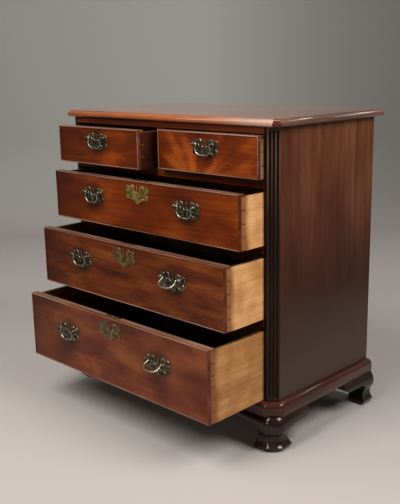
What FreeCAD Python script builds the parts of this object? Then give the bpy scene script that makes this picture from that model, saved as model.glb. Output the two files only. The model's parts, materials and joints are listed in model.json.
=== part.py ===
import FreeCAD, Part
import math
import os
from FreeCAD import Vector

# Mahogany chest of drawers: two short drawers over three long ones, fluted canted corners, ogee bracket feet.
# Millimetres, +Z up, front towards -Y. The origin is on the floor under the middle of the carcass.
# The drawers stand open by the amounts given below.

# Carcass sizes
carcass_width = 787.0
carcass_depth = 425.0
side_thickness = 18.0
corner_cant = 23.0
corner_stile = 9.5
corner_depth = 48.0
rail_height = 22.0
rail_depth = 75.0
bottom_rail_height = 37.0
top_rail_height = 18.0
tenon_length = 10.0
tenon_height = 10.0
tenon_setback = 10.0
tenon_depth = 26.0
divider_width = 24.0
divider_tenon = 6.0
runner_width = 45.5
guide_height = 30.0
centre_guide_height = 40.0
dust_board_thickness = 8.0
groove_depth = 6.0
bottom_board_thickness = 16.0
back_thickness = 10.0
back_rebate = 9.0
back_rail_depth = 60.0
back_plank_count = 5
plank_gap = 0.6
stop_length = 40.0
stop_depth = 25.0
stop_height = 5.0
stop_spacing = 480.0

# Flutes on the canted corners
flute_count = 3
flute_width = 6.2
flute_depth = 2.4
flute_pitch = 9.2
flute_stop = 9.0

# Top board
top_thickness = 18.0
top_side_overhang = 16.0
top_front_overhang = 10.0
top_back_overhang = 22.0
top_cant = 16.0
top_edge_run = 14.0
top_edge_step = 3.0
top_edge_flat = 3.0
top_edge_quirk = 1.6
top_edge_shelf = 4.0

# Base moulding
moulding_drop = 1.0
moulding_projection = 18.0
moulding_fascia = 22.0
moulding_shelf = 2.0

# Ogee bracket feet
foot_height = 93.0
foot_inset = 18.0
foot_cant = 12.0
ogee_neck = 15.0
ogee_bulge = 26.5
ogee_bulge_height = 67.0
ogee_turn = 20.0
ogee_turn_height = 47.0
ogee_waist = 15.0
ogee_waist_height = 31.5
ogee_toe = 25.0
ogee_toe_height = 13.0
toe_pad_inset = 8.0
front_wing = 121.0
rear_wing = 139.0
back_wing = 120.0
pad_length = 46.0
pad_height = 12.0
ankle_inset = 12.0
ankle_height = 40.0
arch_turn = 36.0
arch_height = 67.0
wing_round = 24.0
wing_tip = 4.0
glue_block = 16.0
glue_block_lift = 6.0

# Drawer fronts and their gaps
short_front_height = 104.0
upper_front_height = 136.0
middle_front_height = 162.0
lower_front_height = 190.0
gap_under_front = 1.0
gap_over_front = 3.0
gap_beside_front = 1.0
front_thickness = 20.0
bead_thickness = 3.0
bead_depth = 6.0
bead_proud = 2.0
bead_ease = 0.8
bead_mitre_gap = 0.1

# How far each drawer stands open
short_left_open = 67.0
short_right_open = 19.0
upper_open = 88.0
middle_open = 142.0
lower_open = 200.0

# Drawer boxes
drawer_back_gap = 17.0
drawer_side_thickness = 10.0
drawer_side_drop = 6.0
drawer_back_thickness = 10.0
drawer_back_inset = 4.0
drawer_back_drop = 8.0
drawer_back_housing = 4.0
drawer_bottom_thickness = 6.0
drawer_bottom_lift = 9.0
drawer_bottom_groove = 5.0
dovetail_lap = 8.0
dovetail_pitch = 30.0
pin_narrow = 1.6
pin_wide = 5.0

# Facets round a turned or cast brass piece
turned_facets = 6
lobe_facets = 6

# Brass handles: plates, posts and swan-neck bails
long_handle_offset = 185.0
short_handle_drop = 28.0
upper_handle_drop = 47.0
middle_handle_drop = 57.0
lower_handle_drop = 72.0
plate_thickness = 1.8
post_spacing = 65.0
post_rise = 14.0
post_reach = 10.0
post_base_radius = 4.2
post_head_radius = 5.8
post_tip_radius = 3.2
post_tip = 5.0
post_shank = 5.0
nut_width = 11.0
nut_thickness = 4.0
rod_radius = 2.4
rod_clearance = 0.05
rod_overrun = 7.5
bend_facet_turn = 55.0
bail_neck = 9.5
bail_neck_bend = 3.6
bail_belly = 3.0
bail_belly_depth = 17.0
bail_belly_bend = 9.0
bail_grip_half = 19.0
bail_drop = 28.0
bail_grip_bend = 7.0
middle_right_lean = 50.0
lower_right_lean = 56.0

# Lobes and piercings of the handle plates and escutcheons
ear_lobe_out = 3.0
ear_lobe_radius = 11.0
crest_lobe_offset = 20.0
crest_lobe_rise = 18.0
crest_lobe_radius = 9.0
spike_half_width = 3.0
spike_rise = 25.0
notch_half_width = 8.0
notch_rise = 6.0
wing_lobe_offset = 37.0
wing_lobe_drop = 7.0
wing_lobe_radius = 8.0
hip_offset = 20.0
hip_drop = 18.0
drop_lobe_drop = 20.0
drop_lobe_radius = 8.0
piercing_length = 10.0
piercing_width = 5.0
piercing_offset = 23.0
upper_piercing_rise = 10.0
upper_piercing_lean = 60.0
lower_piercing_drop = 7.0
lower_piercing_lean = 115.0

# Escutcheons, locks and lock bolts
escutcheon_drop = 37.0
key_bow_radius = 2.6
key_slot_width = 2.6
key_slot_drop = 8.0
key_depth_in_lock = 4.0
lock_width = 60.0
lock_below_key = 11.0
lock_thickness = 11.0
bolt_width = 24.0
bolt_thickness = 6.0
bolt_height = 21.0
bolt_setback = 3.0
bolt_clearance = 0.3
bolt_throw = 8.0

# Planes that several pieces share
half_width = carcass_width / 2
front_y = -carcass_depth / 2
back_y = carcass_depth / 2
inner_half = half_width - side_thickness
opening_half = half_width - corner_stile - corner_cant
rail_back_y = front_y + rail_depth
back_board_y = back_y - back_thickness
drawer_depth = back_board_y - front_y - drawer_back_gap
runner_inner = inner_half - runner_width
lower_floor = foot_height + bottom_rail_height


def opening_over(floor, front_height):
    """Height of the rail underside over a drawer opening."""
    return floor + gap_under_front + front_height + gap_over_front


middle_floor = opening_over(lower_floor, lower_front_height) + rail_height
upper_floor = opening_over(middle_floor, middle_front_height) + rail_height
short_floor = opening_over(upper_floor, upper_front_height) + rail_height
top_rail_floor = opening_over(short_floor, short_front_height)
top_floor = top_rail_floor + top_rail_height
cut_reach = carcass_width + top_floor + top_thickness


def block(x0, x1, y0, y1, z0, z1):
    """Rectangular block between two corners."""
    return Part.makeBox(x1 - x0, y1 - y0, z1 - z0, Vector(x0, y0, z0))


def both_sides(shape):
    """A piece of the right side and its mirror image on the left."""
    return [shape, shape.mirror(Vector(0, 0, 0), Vector(1, 0, 0))]


def face_of(edges):
    """Flat face inside a closed run of edges."""
    return Part.Face(Part.Wire(edges))


def line(a, b):
    """Straight edge."""
    return Part.makeLine(a, b)


def arc(a, through, b):
    """Circular edge from one point through a second to a third."""
    return Part.Arc(a, through, b).toShape()


def polygon(points):
    """Flat face with straight sides."""
    return Part.Face(Part.makePolygon(list(points) + [points[0]]))


def skin(rings):
    """Solid with flat faces between rings of points, closed by its first and last ring."""
    count = len(rings[0])
    faces = [polygon(rings[0]), polygon(rings[-1])]
    for near, far in zip(rings, rings[1:]):
        for k in range(count):
            following = (k + 1) % count
            faces.append(polygon([near[k], near[following], far[following], far[k]]))
    return Part.Solid(Part.Shell(faces))


def write(name, shapes):
    """Save one node, made of one or more solids."""
    shape = shapes[0] if len(shapes) == 1 else Part.makeCompound(shapes)
    shape.exportStep("parts/" + name + ".step")


# Mouldings along a path
def beyond(point, direction):
    """Block that fills all the space past an upright plane through a point."""
    half_space = Part.makeBox(cut_reach, 2 * cut_reach, 2 * cut_reach, Vector(0, -cut_reach, -cut_reach))
    half_space.Placement = FreeCAD.Placement(point, FreeCAD.Rotation(Vector(1, 0, 0), direction))
    return half_space


def mitred_runs(profile, path, closed=False, joint_gap=0.0):
    """Lengths of one moulding along a plan path, mitred where they meet.

    The profile lies in the X-Z plane: X is the distance outwards from the path, Z the height.
    The path runs with the outside on its right. The joint gap is left open at each mitre.
    """
    count = len(path) if closed else len(path) - 1
    points = [Vector(x, y, 0) for x, y in path]
    ends = [points[(i + 1) % len(points)] for i in range(count)]
    headings = [(ends[i] - points[i]).normalize() for i in range(count)]
    runs = []
    for i in range(count):
        heading = headings[i]
        overrun = heading * (cut_reach / 4)
        turn = FreeCAD.Rotation(Vector(0, -1, 0), heading * -1)
        section = profile.copy()
        section.Placement = FreeCAD.Placement(points[i] - overrun, turn)
        run = section.extrude(ends[i] - points[i] + overrun * 2)
        starts_free = not closed and i == 0
        ends_free = not closed and i == count - 1
        start_cut = Vector(heading) if starts_free else (heading + headings[i - 1]).normalize()
        end_cut = Vector(heading) if ends_free else (heading + headings[(i + 1) % count]).normalize()
        run = run.cut(beyond(points[i] + start_cut * (joint_gap / 2), start_cut * -1))
        run = run.cut(beyond(ends[i] - end_cut * (joint_gap / 2), end_cut))
        runs.append(run)
    return runs


def canted_path(half, front, back, cant):
    """Plan path round left side, left cant, front, right cant and right side."""
    return [
        (-half, back),
        (-half, front + cant),
        (-half + cant, front),
        (half - cant, front),
        (half, front + cant),
        (half, back),
    ]


def section_point(out, height):
    """Point of a moulding's profile."""
    return Vector(out, 0, height)


# Top board with its moulded edge
def top_board():
    """Top with a thumbnail edge on front, sides and cants."""
    half = half_width + top_side_overhang - top_edge_run
    front = front_y - top_front_overhang + top_edge_run
    back = back_y + top_back_overhang
    cant = top_cant - top_edge_run * (2 - math.sqrt(2))
    path = canted_path(half, front, back, cant)
    core = polygon([Vector(x, y, top_floor) for x, y in path]).extrude(Vector(0, 0, top_thickness))
    lip = top_floor + top_edge_step
    nose = lip + top_edge_flat
    crown = top_floor + top_thickness - top_edge_quirk
    under = section_point(top_edge_run - top_edge_step, top_floor)
    shoulder = section_point(top_edge_shelf, crown)
    shelf = section_point(top_edge_shelf, top_floor + top_thickness)
    inner_top = section_point(0, top_floor + top_thickness)
    nose_point = section_point(top_edge_run, nose)
    swell = (top_edge_run - top_edge_shelf) * math.sqrt(0.5)
    rise = (crown - nose) * math.sqrt(0.5)
    outline = [
        line(section_point(0, top_floor), under),
        line(under, section_point(top_edge_run, lip)),
        line(section_point(top_edge_run, lip), nose_point),
        arc(nose_point, section_point(top_edge_shelf + swell, nose + rise), shoulder),
        line(shoulder, shelf),
        line(shelf, inner_top),
        line(inner_top, section_point(0, top_floor)),
    ]
    board = core.fuse(mitred_runs(face_of(outline), path))
    return board.removeSplitter()


# Fluted corner posts
def corner_post():
    """Right-hand canted post with its flutes, rebated for the side panel."""
    outline = [
        (opening_half, front_y),
        (half_width - corner_cant, front_y),
        (half_width, front_y + corner_cant),
        (inner_half, front_y + corner_cant),
        (inner_half, front_y + corner_depth),
        (opening_half, front_y + corner_depth),
    ]
    plan = polygon([Vector(x, y, foot_height) for x, y in outline])
    post = plan.extrude(Vector(0, 0, top_floor - foot_height))
    along = Vector(1, 1, 0).normalize()
    outwards = Vector(1, -1, 0).normalize()
    middle = Vector(half_width - corner_cant / 2, front_y + corner_cant / 2, lower_floor + flute_stop)
    radius = ((flute_width / 2) ** 2 + flute_depth**2) / (2 * flute_depth)
    length = top_floor - lower_floor - 2 * flute_stop
    for i in range(flute_count):
        centre = middle + along * ((i - (flute_count - 1) / 2) * flute_pitch)
        centre = centre + outwards * (radius - flute_depth)
        post = post.cut(Part.makeCylinder(radius, length, centre))
    return post


# Rails, divider and inner framing
def rail(bottom, height):
    """Rail between the corner posts with a tenon at each end."""
    board = block(-opening_half, opening_half, front_y, rail_back_y, bottom, bottom + height)
    tenon_y = front_y + tenon_setback
    tenon_z = bottom + (height - tenon_height) / 2
    reach = opening_half + tenon_length
    tenon = block(-reach, reach, tenon_y, tenon_y + tenon_depth, tenon_z, tenon_z + tenon_height)
    return board.fuse(tenon).removeSplitter()


def dust_board(x0, x1, rail_bottom):
    """Thin board let into the grooves of rail and runners."""
    bottom = rail_bottom + (rail_height - dust_board_thickness) / 2
    return block(x0, x1, rail_back_y - groove_depth, back_board_y, bottom, bottom + dust_board_thickness)


def bolt_mortise(underside):
    """Socket in a rail for the lock bolt of the closed drawer below it."""
    half = bolt_width / 2 + bolt_clearance
    y0 = front_y + front_thickness - bolt_setback - bolt_thickness - bolt_clearance
    y1 = front_y + front_thickness - bolt_setback + bolt_clearance
    return block(-half, half, y0, y1, underside, underside + bolt_throw)


def inner_framing():
    """All pieces between the sides: rails, dust boards, runners, guides and divider."""
    rail_bottoms = [floor - rail_height for floor in (middle_floor, upper_floor, short_floor)]
    dust_edge = runner_inner + groove_depth
    dust = [dust_board(-dust_edge, dust_edge, z) for z in rail_bottoms[:2]]
    centre_edge = runner_width - groove_depth
    dust += both_sides(dust_board(centre_edge, dust_edge, rail_bottoms[2]))

    divider = block(-divider_width / 2, divider_width / 2, front_y, rail_back_y, short_floor, top_rail_floor)
    tongue_y = front_y + tenon_setback
    tongue = block(
        -divider_tenon / 2,
        divider_tenon / 2,
        tongue_y,
        tongue_y + tenon_depth,
        short_floor - divider_tenon,
        top_rail_floor + divider_tenon,
    )
    divider = divider.fuse(tongue).removeSplitter()
    centre_guide = block(
        -divider_width / 2,
        divider_width / 2,
        rail_back_y,
        back_board_y,
        short_floor,
        short_floor + centre_guide_height,
    )

    rails = [rail(foot_height, bottom_rail_height)]
    for bottom in rail_bottoms:
        board = rail(bottom, rail_height).cut(bolt_mortise(bottom))
        rails.append(board.cut(Part.makeCompound(dust)).cut(divider))

    runners = []
    guides = []
    floors = [lower_floor, middle_floor, upper_floor, short_floor]
    undersides = [foot_height + bottom_board_thickness] + rail_bottoms
    for floor, underside in zip(floors, undersides):
        runner = block(runner_inner, inner_half, rail_back_y, back_board_y, underside, floor)
        guide_y = front_y + corner_depth
        guide = block(opening_half, inner_half, guide_y, back_board_y, floor, floor + guide_height)
        runners += both_sides(runner)
        guides += both_sides(guide)
    runners.append(
        block(-runner_width, runner_width, rail_back_y, back_board_y, rail_bottoms[2], short_floor)
    )
    runners = [runner.cut(Part.makeCompound(dust)) for runner in runners]

    top_rail = rail(top_rail_floor, top_rail_height).cut(divider)
    back_rail = block(
        -inner_half, inner_half, back_board_y - back_rail_depth, back_board_y, top_rail_floor, top_floor
    )
    kicker = block(
        runner_inner, inner_half, rail_back_y, back_board_y - back_rail_depth, top_rail_floor, top_floor
    )
    return {
        "drawer_rails": rails,
        "dust_boards": dust,
        "short_drawer_divider": [divider, centre_guide],
        "drawer_runners": runners + guides,
        "top_frame": [top_rail, back_rail] + both_sides(kicker),
    }


def drawer_stops():
    """Blocks on the rails that stop each closed drawer flush with the front."""
    y0 = front_y + front_thickness
    short_centre = (opening_half + divider_width / 2) / 2
    places = [(stop_spacing / 2, floor) for floor in (lower_floor, middle_floor, upper_floor)]
    places.append((short_centre, short_floor))
    stops = []
    for x, floor in places:
        left = x - stop_length / 2
        stop = block(left, left + stop_length, y0, y0 + stop_depth, floor, floor + stop_height)
        stops += both_sides(stop)
    return stops


def back_boards():
    """Upright planks side by side in the rebate of the carcass sides."""
    span = 2 * (inner_half + back_rebate)
    pitch = (span + plank_gap) / back_plank_count
    planks = []
    for i in range(back_plank_count):
        left = i * pitch - span / 2
        planks.append(block(left, left + pitch - plank_gap, back_board_y, back_y, foot_height, top_floor))
    return planks


# Base moulding and ogee feet
carcass_path = canted_path(half_width, front_y, back_y, corner_cant)


def base_moulding():
    """Mitred lengths of fascia with an ovolo above it."""
    crown = lower_floor - moulding_drop
    fascia = foot_height + moulding_fascia
    shelf = section_point(moulding_shelf, crown)
    nose = section_point(moulding_projection, fascia)
    swell = section_point(
        moulding_shelf + (moulding_projection - moulding_shelf) * math.sqrt(0.5),
        fascia + (crown - fascia) * math.sqrt(0.5),
    )
    outline = [
        line(section_point(0, foot_height), section_point(moulding_projection, foot_height)),
        line(section_point(moulding_projection, foot_height), nose),
        arc(nose, swell, shelf),
        line(shelf, section_point(0, crown)),
        line(section_point(0, crown), section_point(0, foot_height)),
    ]
    return mitred_runs(face_of(outline), carcass_path)


def ogee_profile():
    """Section of a bracket foot: bulge above, waist and toe below, flat back."""
    neck = section_point(ogee_neck, foot_height)
    turn = section_point(ogee_turn, ogee_turn_height)
    toe = section_point(ogee_toe, ogee_toe_height)
    sole = section_point(ogee_toe - toe_pad_inset, 0)
    outline = [
        arc(neck, section_point(ogee_bulge, ogee_bulge_height), turn),
        arc(turn, section_point(ogee_waist, ogee_waist_height), toe),
        line(toe, sole),
        line(sole, section_point(-foot_inset, 0)),
        line(section_point(-foot_inset, 0), section_point(-foot_inset, foot_height)),
        line(section_point(-foot_inset, foot_height), neck),
    ]
    return face_of(outline)


def bracket_outline(wing):
    """Side view of a bracket: flared pad at the corner, then a flat arch out to a rounded wing.

    X runs from the corner of the carcass towards the wing tip, Z up. It starts outside the corner.
    """
    outside = -cut_reach / 4
    tip_height = foot_height - wing_tip
    ankle_out = pad_length - ankle_inset
    lip = section_point(pad_length, pad_height)
    ankle = section_point(ankle_out, ankle_height)
    arch_start = section_point(ankle_out + arch_turn, arch_height)
    spring = section_point(
        ankle_out + arch_turn * (1 - math.sqrt(0.5)),
        ankle_height + (arch_height - ankle_height) * math.sqrt(0.5),
    )
    arch_end = section_point(wing - wing_round, arch_height)
    shoulder = section_point(
        wing - wing_round * (1 - math.sqrt(0.5)),
        arch_height + (tip_height - arch_height) * (1 - math.sqrt(0.5)),
    )
    tip = section_point(wing, tip_height)
    outline = [
        line(section_point(outside, 0), section_point(pad_length, 0)),
        line(section_point(pad_length, 0), lip),
        line(lip, ankle),
        arc(ankle, spring, arch_start),
        line(arch_start, arch_end),
        arc(arch_end, shoulder, tip),
        line(tip, section_point(wing, foot_height)),
        line(section_point(wing, foot_height), section_point(outside, foot_height)),
        line(section_point(outside, foot_height), section_point(outside, 0)),
    ]
    return face_of(outline)


def bracket_along_x(wing):
    """Solid of a bracket's side view, standing across the front at the right corner."""
    solid = bracket_outline(wing).extrude(Vector(0, cut_reach, 0))
    solid = solid.mirror(Vector(0, 0, 0), Vector(1, 0, 0))
    return solid.translate(Vector(half_width, -cut_reach / 2, 0))


def bracket_along_y(wing, corner_y, heading):
    """Solid of a bracket's side view, standing along the right side from a front or back corner."""
    solid = bracket_outline(wing).extrude(Vector(0, cut_reach, 0))
    solid.rotate(Vector(0, 0, 0), Vector(0, 0, 1), 90 * heading)
    return solid.translate(Vector(half_width + heading * cut_reach / 2, corner_y, 0))


def front_foot():
    """Right front foot: front bracket, canted corner, side bracket and glue block."""
    path = [
        (half_width - front_wing, front_y),
        (half_width - foot_cant, front_y),
        (half_width, front_y + foot_cant),
        (half_width, front_y + front_wing),
    ]
    front, cant, side = mitred_runs(ogee_profile(), path)
    brackets = [
        front.common(bracket_along_x(front_wing)),
        cant,
        side.cut(front).common(bracket_along_y(front_wing, front_y, 1)),
    ]
    inner_x = half_width - foot_inset
    inner_y = front_y + foot_inset
    corner = block(
        inner_x - glue_block, inner_x, inner_y, inner_y + glue_block, glue_block_lift, foot_height
    )
    return brackets + [corner.cut(Part.makeCompound(brackets))]


def rear_foot():
    """Right rear foot: ogee side bracket, plain back bracket and glue block."""
    path = [(half_width, back_y - rear_wing), (half_width, back_y)]
    side = mitred_runs(ogee_profile(), path)[0].common(bracket_along_y(rear_wing, back_y, -1))
    inner_x = half_width - foot_inset
    board = block(half_width - back_wing, inner_x, back_y - foot_inset, back_y, 0, foot_height)
    board = board.common(bracket_along_x(back_wing))
    block_y = back_y - foot_inset
    corner = block(
        inner_x - glue_block, inner_x, block_y - glue_block, block_y, glue_block_lift, foot_height
    )
    return [side, board, corner]


# Brass plates
def disc(x, z, radius):
    """Round face, made of straight facets, in the plane of a drawer front."""
    angles = [2 * math.pi * k / lobe_facets for k in range(lobe_facets)]
    return polygon([section_point(x - radius * math.sin(a), z + radius * math.cos(a)) for a in angles])


def kite(x, z, angle):
    """Pointed piercing that leans away from the upright by an angle."""
    half_length = piercing_length / 2
    half_span = piercing_width / 2
    shape = polygon(
        [
            section_point(0, half_length),
            section_point(-half_span, half_span / 2),
            section_point(0, -half_length),
            section_point(half_span, half_span / 2),
        ]
    )
    shape.rotate(Vector(0, 0, 0), Vector(0, 1, 0), angle)
    return shape.translate(section_point(x, z))


def pierced_plate():
    """Lobed bat-wing plate with a spike between its ears and four piercings, centred on its middle."""
    right = [
        (crest_lobe_offset, crest_lobe_rise, crest_lobe_radius),
        (post_spacing / 2 + ear_lobe_out, post_rise, ear_lobe_radius),
        (wing_lobe_offset, -wing_lobe_drop, wing_lobe_radius),
    ]
    left = [(-x, z, radius) for x, z, radius in right]
    drop = (0, -drop_lobe_drop, drop_lobe_radius)
    half_outline = [(-notch_half_width, notch_rise)]
    half_outline += [(x, z) for x, z, radius in left]
    half_outline.append((-hip_offset, -hip_drop))
    outline = half_outline + [(0, -drop_lobe_drop)] + [(-x, z) for x, z in reversed(half_outline)]
    web = polygon([section_point(x, z) for x, z in outline])
    spike = polygon(
        [
            section_point(0, spike_rise),
            section_point(-spike_half_width, notch_rise),
            section_point(spike_half_width, notch_rise),
        ]
    )
    lobes = [disc(x, z, radius) for x, z, radius in left + [drop] + right]
    sheet = web.fuse(lobes + [spike]).removeSplitter()
    piercings = []
    for side in (-1, 1):
        x = side * piercing_offset
        piercings.append(kite(x, upper_piercing_rise, side * upper_piercing_lean))
        piercings.append(kite(x, -lower_piercing_drop, side * lower_piercing_lean))
    sheet = sheet.cut(Part.makeCompound(piercings))
    return sheet.Faces[0].extrude(Vector(0, -plate_thickness, 0))


def keyhole(depth_from, depth_to):
    """Keyhole cutter between two depths behind the drawer face."""
    half = key_slot_width / 2
    slot = polygon(
        [
            section_point(-half, -key_slot_drop),
            section_point(half, -key_slot_drop),
            section_point(half, 0),
            section_point(-half, 0),
        ]
    )
    outline = disc(0, 0, key_bow_radius).fuse(slot).removeSplitter()
    cutter = outline.Faces[0].extrude(Vector(0, depth_to - depth_from, 0))
    return cutter.translate(Vector(0, depth_from, 0))


# Handles
def turned_ring(y, radius):
    """Ring of points round the axis of a turned post."""
    angles = [2 * math.pi * (k + 0.5) / turned_facets for k in range(turned_facets)]
    return [Vector(radius * math.cos(a), y, radius * math.sin(a)) for a in angles]


def handle_post():
    """Turned post with a cross bore for the bail and a square shank through plate and front."""
    head = skin(
        [
            turned_ring(-plate_thickness, post_base_radius),
            turned_ring(-post_reach, post_head_radius),
            turned_ring(-post_reach - post_tip, post_tip_radius),
        ]
    )
    bore_ring = turned_ring(0, (rod_radius + rod_clearance) / math.cos(math.pi / turned_facets))
    bore = polygon(bore_ring).extrude(Vector(0, 2 * post_head_radius, 0))
    bore.rotate(Vector(0, 0, 0), Vector(0, 0, 1), -90)
    bore.translate(Vector(-post_head_radius, -post_reach, 0))
    half = post_shank / 2
    shank = block(-half, half, -plate_thickness, front_thickness + nut_thickness, -half, half)
    return head.cut(bore).fuse(shank).removeSplitter()


def shank_hole(y0, y1):
    """Square hole that a post's shank fills."""
    half = post_shank / 2
    return block(-half, half, y0, y1, -half, half)


def post_nut():
    """Square nut on the inner face of the drawer front."""
    half = nut_width / 2
    y1 = front_thickness + nut_thickness
    return block(-half, half, front_thickness, y1, -half, half).cut(shank_hole(front_thickness, y1))


def eased_path(points, radii):
    """Points of a path whose corners are rounded by short facets."""
    path = [points[0]]
    for i, radius in enumerate(radii):
        corner = points[i + 1]
        back = (points[i] - corner).normalize()
        ahead = (points[i + 2] - corner).normalize()
        half_angle = back.getAngle(ahead) / 2
        centre = corner + (back + ahead).normalize() * (radius / math.sin(half_angle))
        first = corner + back * (radius / math.tan(half_angle)) - centre
        last = corner + ahead * (radius / math.tan(half_angle)) - centre
        axis = first.cross(last)
        sweep = math.degrees(first.getAngle(last))
        facets = math.ceil(sweep / bend_facet_turn)
        for step in range(facets + 1):
            turn = FreeCAD.Rotation(axis, sweep * step / facets)
            path.append(centre + turn.multVec(first))
    path.append(points[-1])
    return path


def bail():
    """Swan-neck bail hanging from its two posts, with its ends in their bores."""
    post_x = post_spacing / 2
    neck_x = post_x - bail_neck
    right = [
        Vector(post_x + rod_overrun, 0, 0),
        Vector(neck_x, 0, 0),
        Vector(neck_x + bail_belly, 0, -bail_belly_depth),
        Vector(bail_grip_half, 0, -bail_drop),
    ]
    left = [Vector(-p.x, 0, p.z) for p in reversed(right)]
    half_radii = [bail_neck_bend, bail_belly_bend, bail_grip_bend]
    path = eased_path(right + left, half_radii + half_radii[::-1])
    runs = [(after - before).normalize() for before, after in zip(path, path[1:])]
    rings = []
    for point, arriving, leaving in zip(path, runs[:1] + runs, runs + runs[-1:]):
        ahead = (arriving + leaving).normalize()
        across = Vector(0, 1, 0).cross(ahead) / ahead.dot(leaving)
        ring = []
        for k in range(turned_facets):
            angle = 2 * math.pi * (k + 0.5) / turned_facets
            ring.append(point + (across * math.cos(angle) + Vector(0, math.sin(angle), 0)) * rod_radius)
        rings.append(ring)
    return skin(rings).translate(Vector(0, -post_reach, 0))


# Drawers
def front_beads(width, height):
    """Four mitred cockbeads round a drawer front, standing proud of its face."""
    outline = [
        section_point(-bead_thickness, -bead_depth),
        section_point(0, -bead_depth),
        section_point(0, bead_proud - bead_ease),
        section_point(-bead_ease, bead_proud),
        section_point(bead_ease - bead_thickness, bead_proud),
        section_point(-bead_thickness, bead_proud - bead_ease),
    ]
    path = [
        (-width / 2, 0),
        (width / 2, 0),
        (width / 2, height),
        (-width / 2, height),
    ]
    beads = mitred_runs(polygon(outline), path, closed=True, joint_gap=bead_mitre_gap)
    for bead in beads:
        bead.rotate(Vector(0, 0, 0), Vector(1, 0, 0), 90)
    return beads


def dovetail_pins(width, side_height):
    """Pins that stay on the drawer front between the tails of the right-hand side."""
    count = round(side_height / dovetail_pitch)
    pins = []
    for i in range(count + 1):
        z = i * side_height / count
        pin = polygon(
            [
                Vector(width / 2, dovetail_lap, z - pin_narrow / 2),
                Vector(width / 2, front_thickness, z - pin_wide / 2),
                Vector(width / 2, front_thickness, z + pin_wide / 2),
                Vector(width / 2, dovetail_lap, z + pin_narrow / 2),
            ]
        )
        pins.append(pin.extrude(Vector(-drawer_side_thickness, 0, 0)))
    return Part.makeCompound(pins)


def drawer_box(width, height):
    """Sides with their tails, back and bottom of one drawer, resting on the level Z = 0."""
    side_height = gap_under_front + height - drawer_side_drop
    inner = width / 2 - drawer_side_thickness
    bottom_edge = inner + drawer_bottom_groove
    bottom_top = drawer_bottom_lift + drawer_bottom_thickness
    bottom = block(
        -bottom_edge,
        bottom_edge,
        front_thickness - drawer_bottom_groove,
        drawer_depth - drawer_back_inset,
        drawer_bottom_lift,
        bottom_top,
    )
    back_end = inner + drawer_back_housing
    back_end_y = drawer_depth - drawer_back_inset
    back = block(
        -back_end,
        back_end,
        back_end_y - drawer_back_thickness,
        back_end_y,
        bottom_top,
        side_height - drawer_back_drop,
    )
    side = block(inner, width / 2, dovetail_lap, drawer_depth, 0, side_height)
    side = side.cut(dovetail_pins(width, side_height)).cut(Part.makeCompound([bottom, back]))
    return both_sides(side) + [back, bottom]


def drawer_front(width, height, box, cutters):
    """Front board, rebated for its beads and cut for tails, bottom, lock and shanks."""
    board = block(-width / 2, width / 2, 0, front_thickness, gap_under_front, gap_under_front + height)
    rim = block(-width / 2, width / 2, 0, bead_depth, gap_under_front, gap_under_front + height)
    field = block(
        -width / 2 + bead_thickness,
        width / 2 - bead_thickness,
        0,
        bead_depth,
        gap_under_front + bead_thickness,
        gap_under_front + height - bead_thickness,
    )
    return board.cut(rim.cut(field)).cut(Part.makeCompound(box + cutters))


def place(shapes, move):
    """Copies of shapes moved by a vector."""
    return [shape.copy().translate(move) for shape in shapes]


def handle_set(centres, top_z, drop):
    """Plates, posts with nuts, and shank holes of the handles on one front."""
    plates = []
    posts = []
    holes = []
    posts_x = (-post_spacing / 2, post_spacing / 2)
    plate = pierced_plate().translate(Vector(0, 0, -post_rise))
    for x in posts_x:
        plate = plate.cut(place([shank_hole(-plate_thickness, 0)], Vector(x, 0, 0))[0])
    for centre in centres:
        plates += place([plate], Vector(centre, 0, top_z - drop))
        for x in posts_x:
            spot = Vector(centre + x, 0, top_z - drop)
            posts += place([handle_post(), post_nut()], spot)
            holes += place([shank_hole(0, front_thickness)], spot)
    return plates, posts, holes


def lock_set(top_z):
    """Escutcheon, lock case and bolt of a long drawer, with the cutters for its front."""
    key = Vector(0, 0, top_z - escutcheon_drop)
    escutcheon = pierced_plate().cut(keyhole(-plate_thickness, 0)).translate(key)
    case_y = front_thickness - lock_thickness
    case_bottom = key.z - lock_below_key
    case = block(-lock_width / 2, lock_width / 2, case_y, front_thickness, case_bottom, top_z)
    bolt_back = front_thickness - bolt_setback
    bolt = block(
        -bolt_width / 2,
        bolt_width / 2,
        bolt_back - bolt_thickness,
        bolt_back,
        top_z - bolt_height,
        top_z,
    )
    pocket = block(
        -bolt_width / 2 - bolt_clearance,
        bolt_width / 2 + bolt_clearance,
        bolt_back - bolt_thickness - bolt_clearance,
        bolt_back + bolt_clearance,
        top_z - bolt_height,
        top_z,
    )
    key_in_lock = keyhole(case_y, case_y + key_depth_in_lock).translate(key)
    lock = case.cut(pocket).cut(key_in_lock)
    key_in_front = keyhole(0, case_y).translate(key)
    return escutcheon, lock, bolt, [case, key_in_front]


def write_drawer(name, x, floor, width, height, open_by, handles, drop, leans, has_lock):
    """Build one drawer at its place and save its nodes."""
    top_z = gap_under_front + height
    box = drawer_box(width, height)
    plates, posts, cutters = handle_set(handles, top_z, drop)
    move = Vector(x, front_y - open_by, floor)
    if has_lock:
        escutcheon, lock, bolt, lock_cutters = lock_set(top_z)
        cutters = cutters + lock_cutters
        write(name + "_escutcheon", place([escutcheon], move))
        write(name + "_lock", place([lock], move))
        write(name + "_lock_bolt", place([bolt], move))
    write(name + "_front", place([drawer_front(width, height, box, cutters)], move))
    write(name + "_box", place(box, move))
    write(name + "_cockbeads", place(front_beads(width, height), move + Vector(0, 0, gap_under_front)))
    write(name + "_handle_plates", place(plates, move))
    write(name + "_handle_posts", place(posts, move))
    bail_names = ["_bail"] if len(handles) == 1 else ["_bail_left", "_bail_right"]
    for bail_name, centre, lean in zip(bail_names, handles, leans):
        pivot = Vector(centre, -post_reach, top_z - drop)
        hanging = bail().translate(Vector(centre, 0, top_z - drop))
        hanging.rotate(pivot, Vector(-1, 0, 0), lean)
        write(name + bail_name, place([hanging], move))


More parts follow.
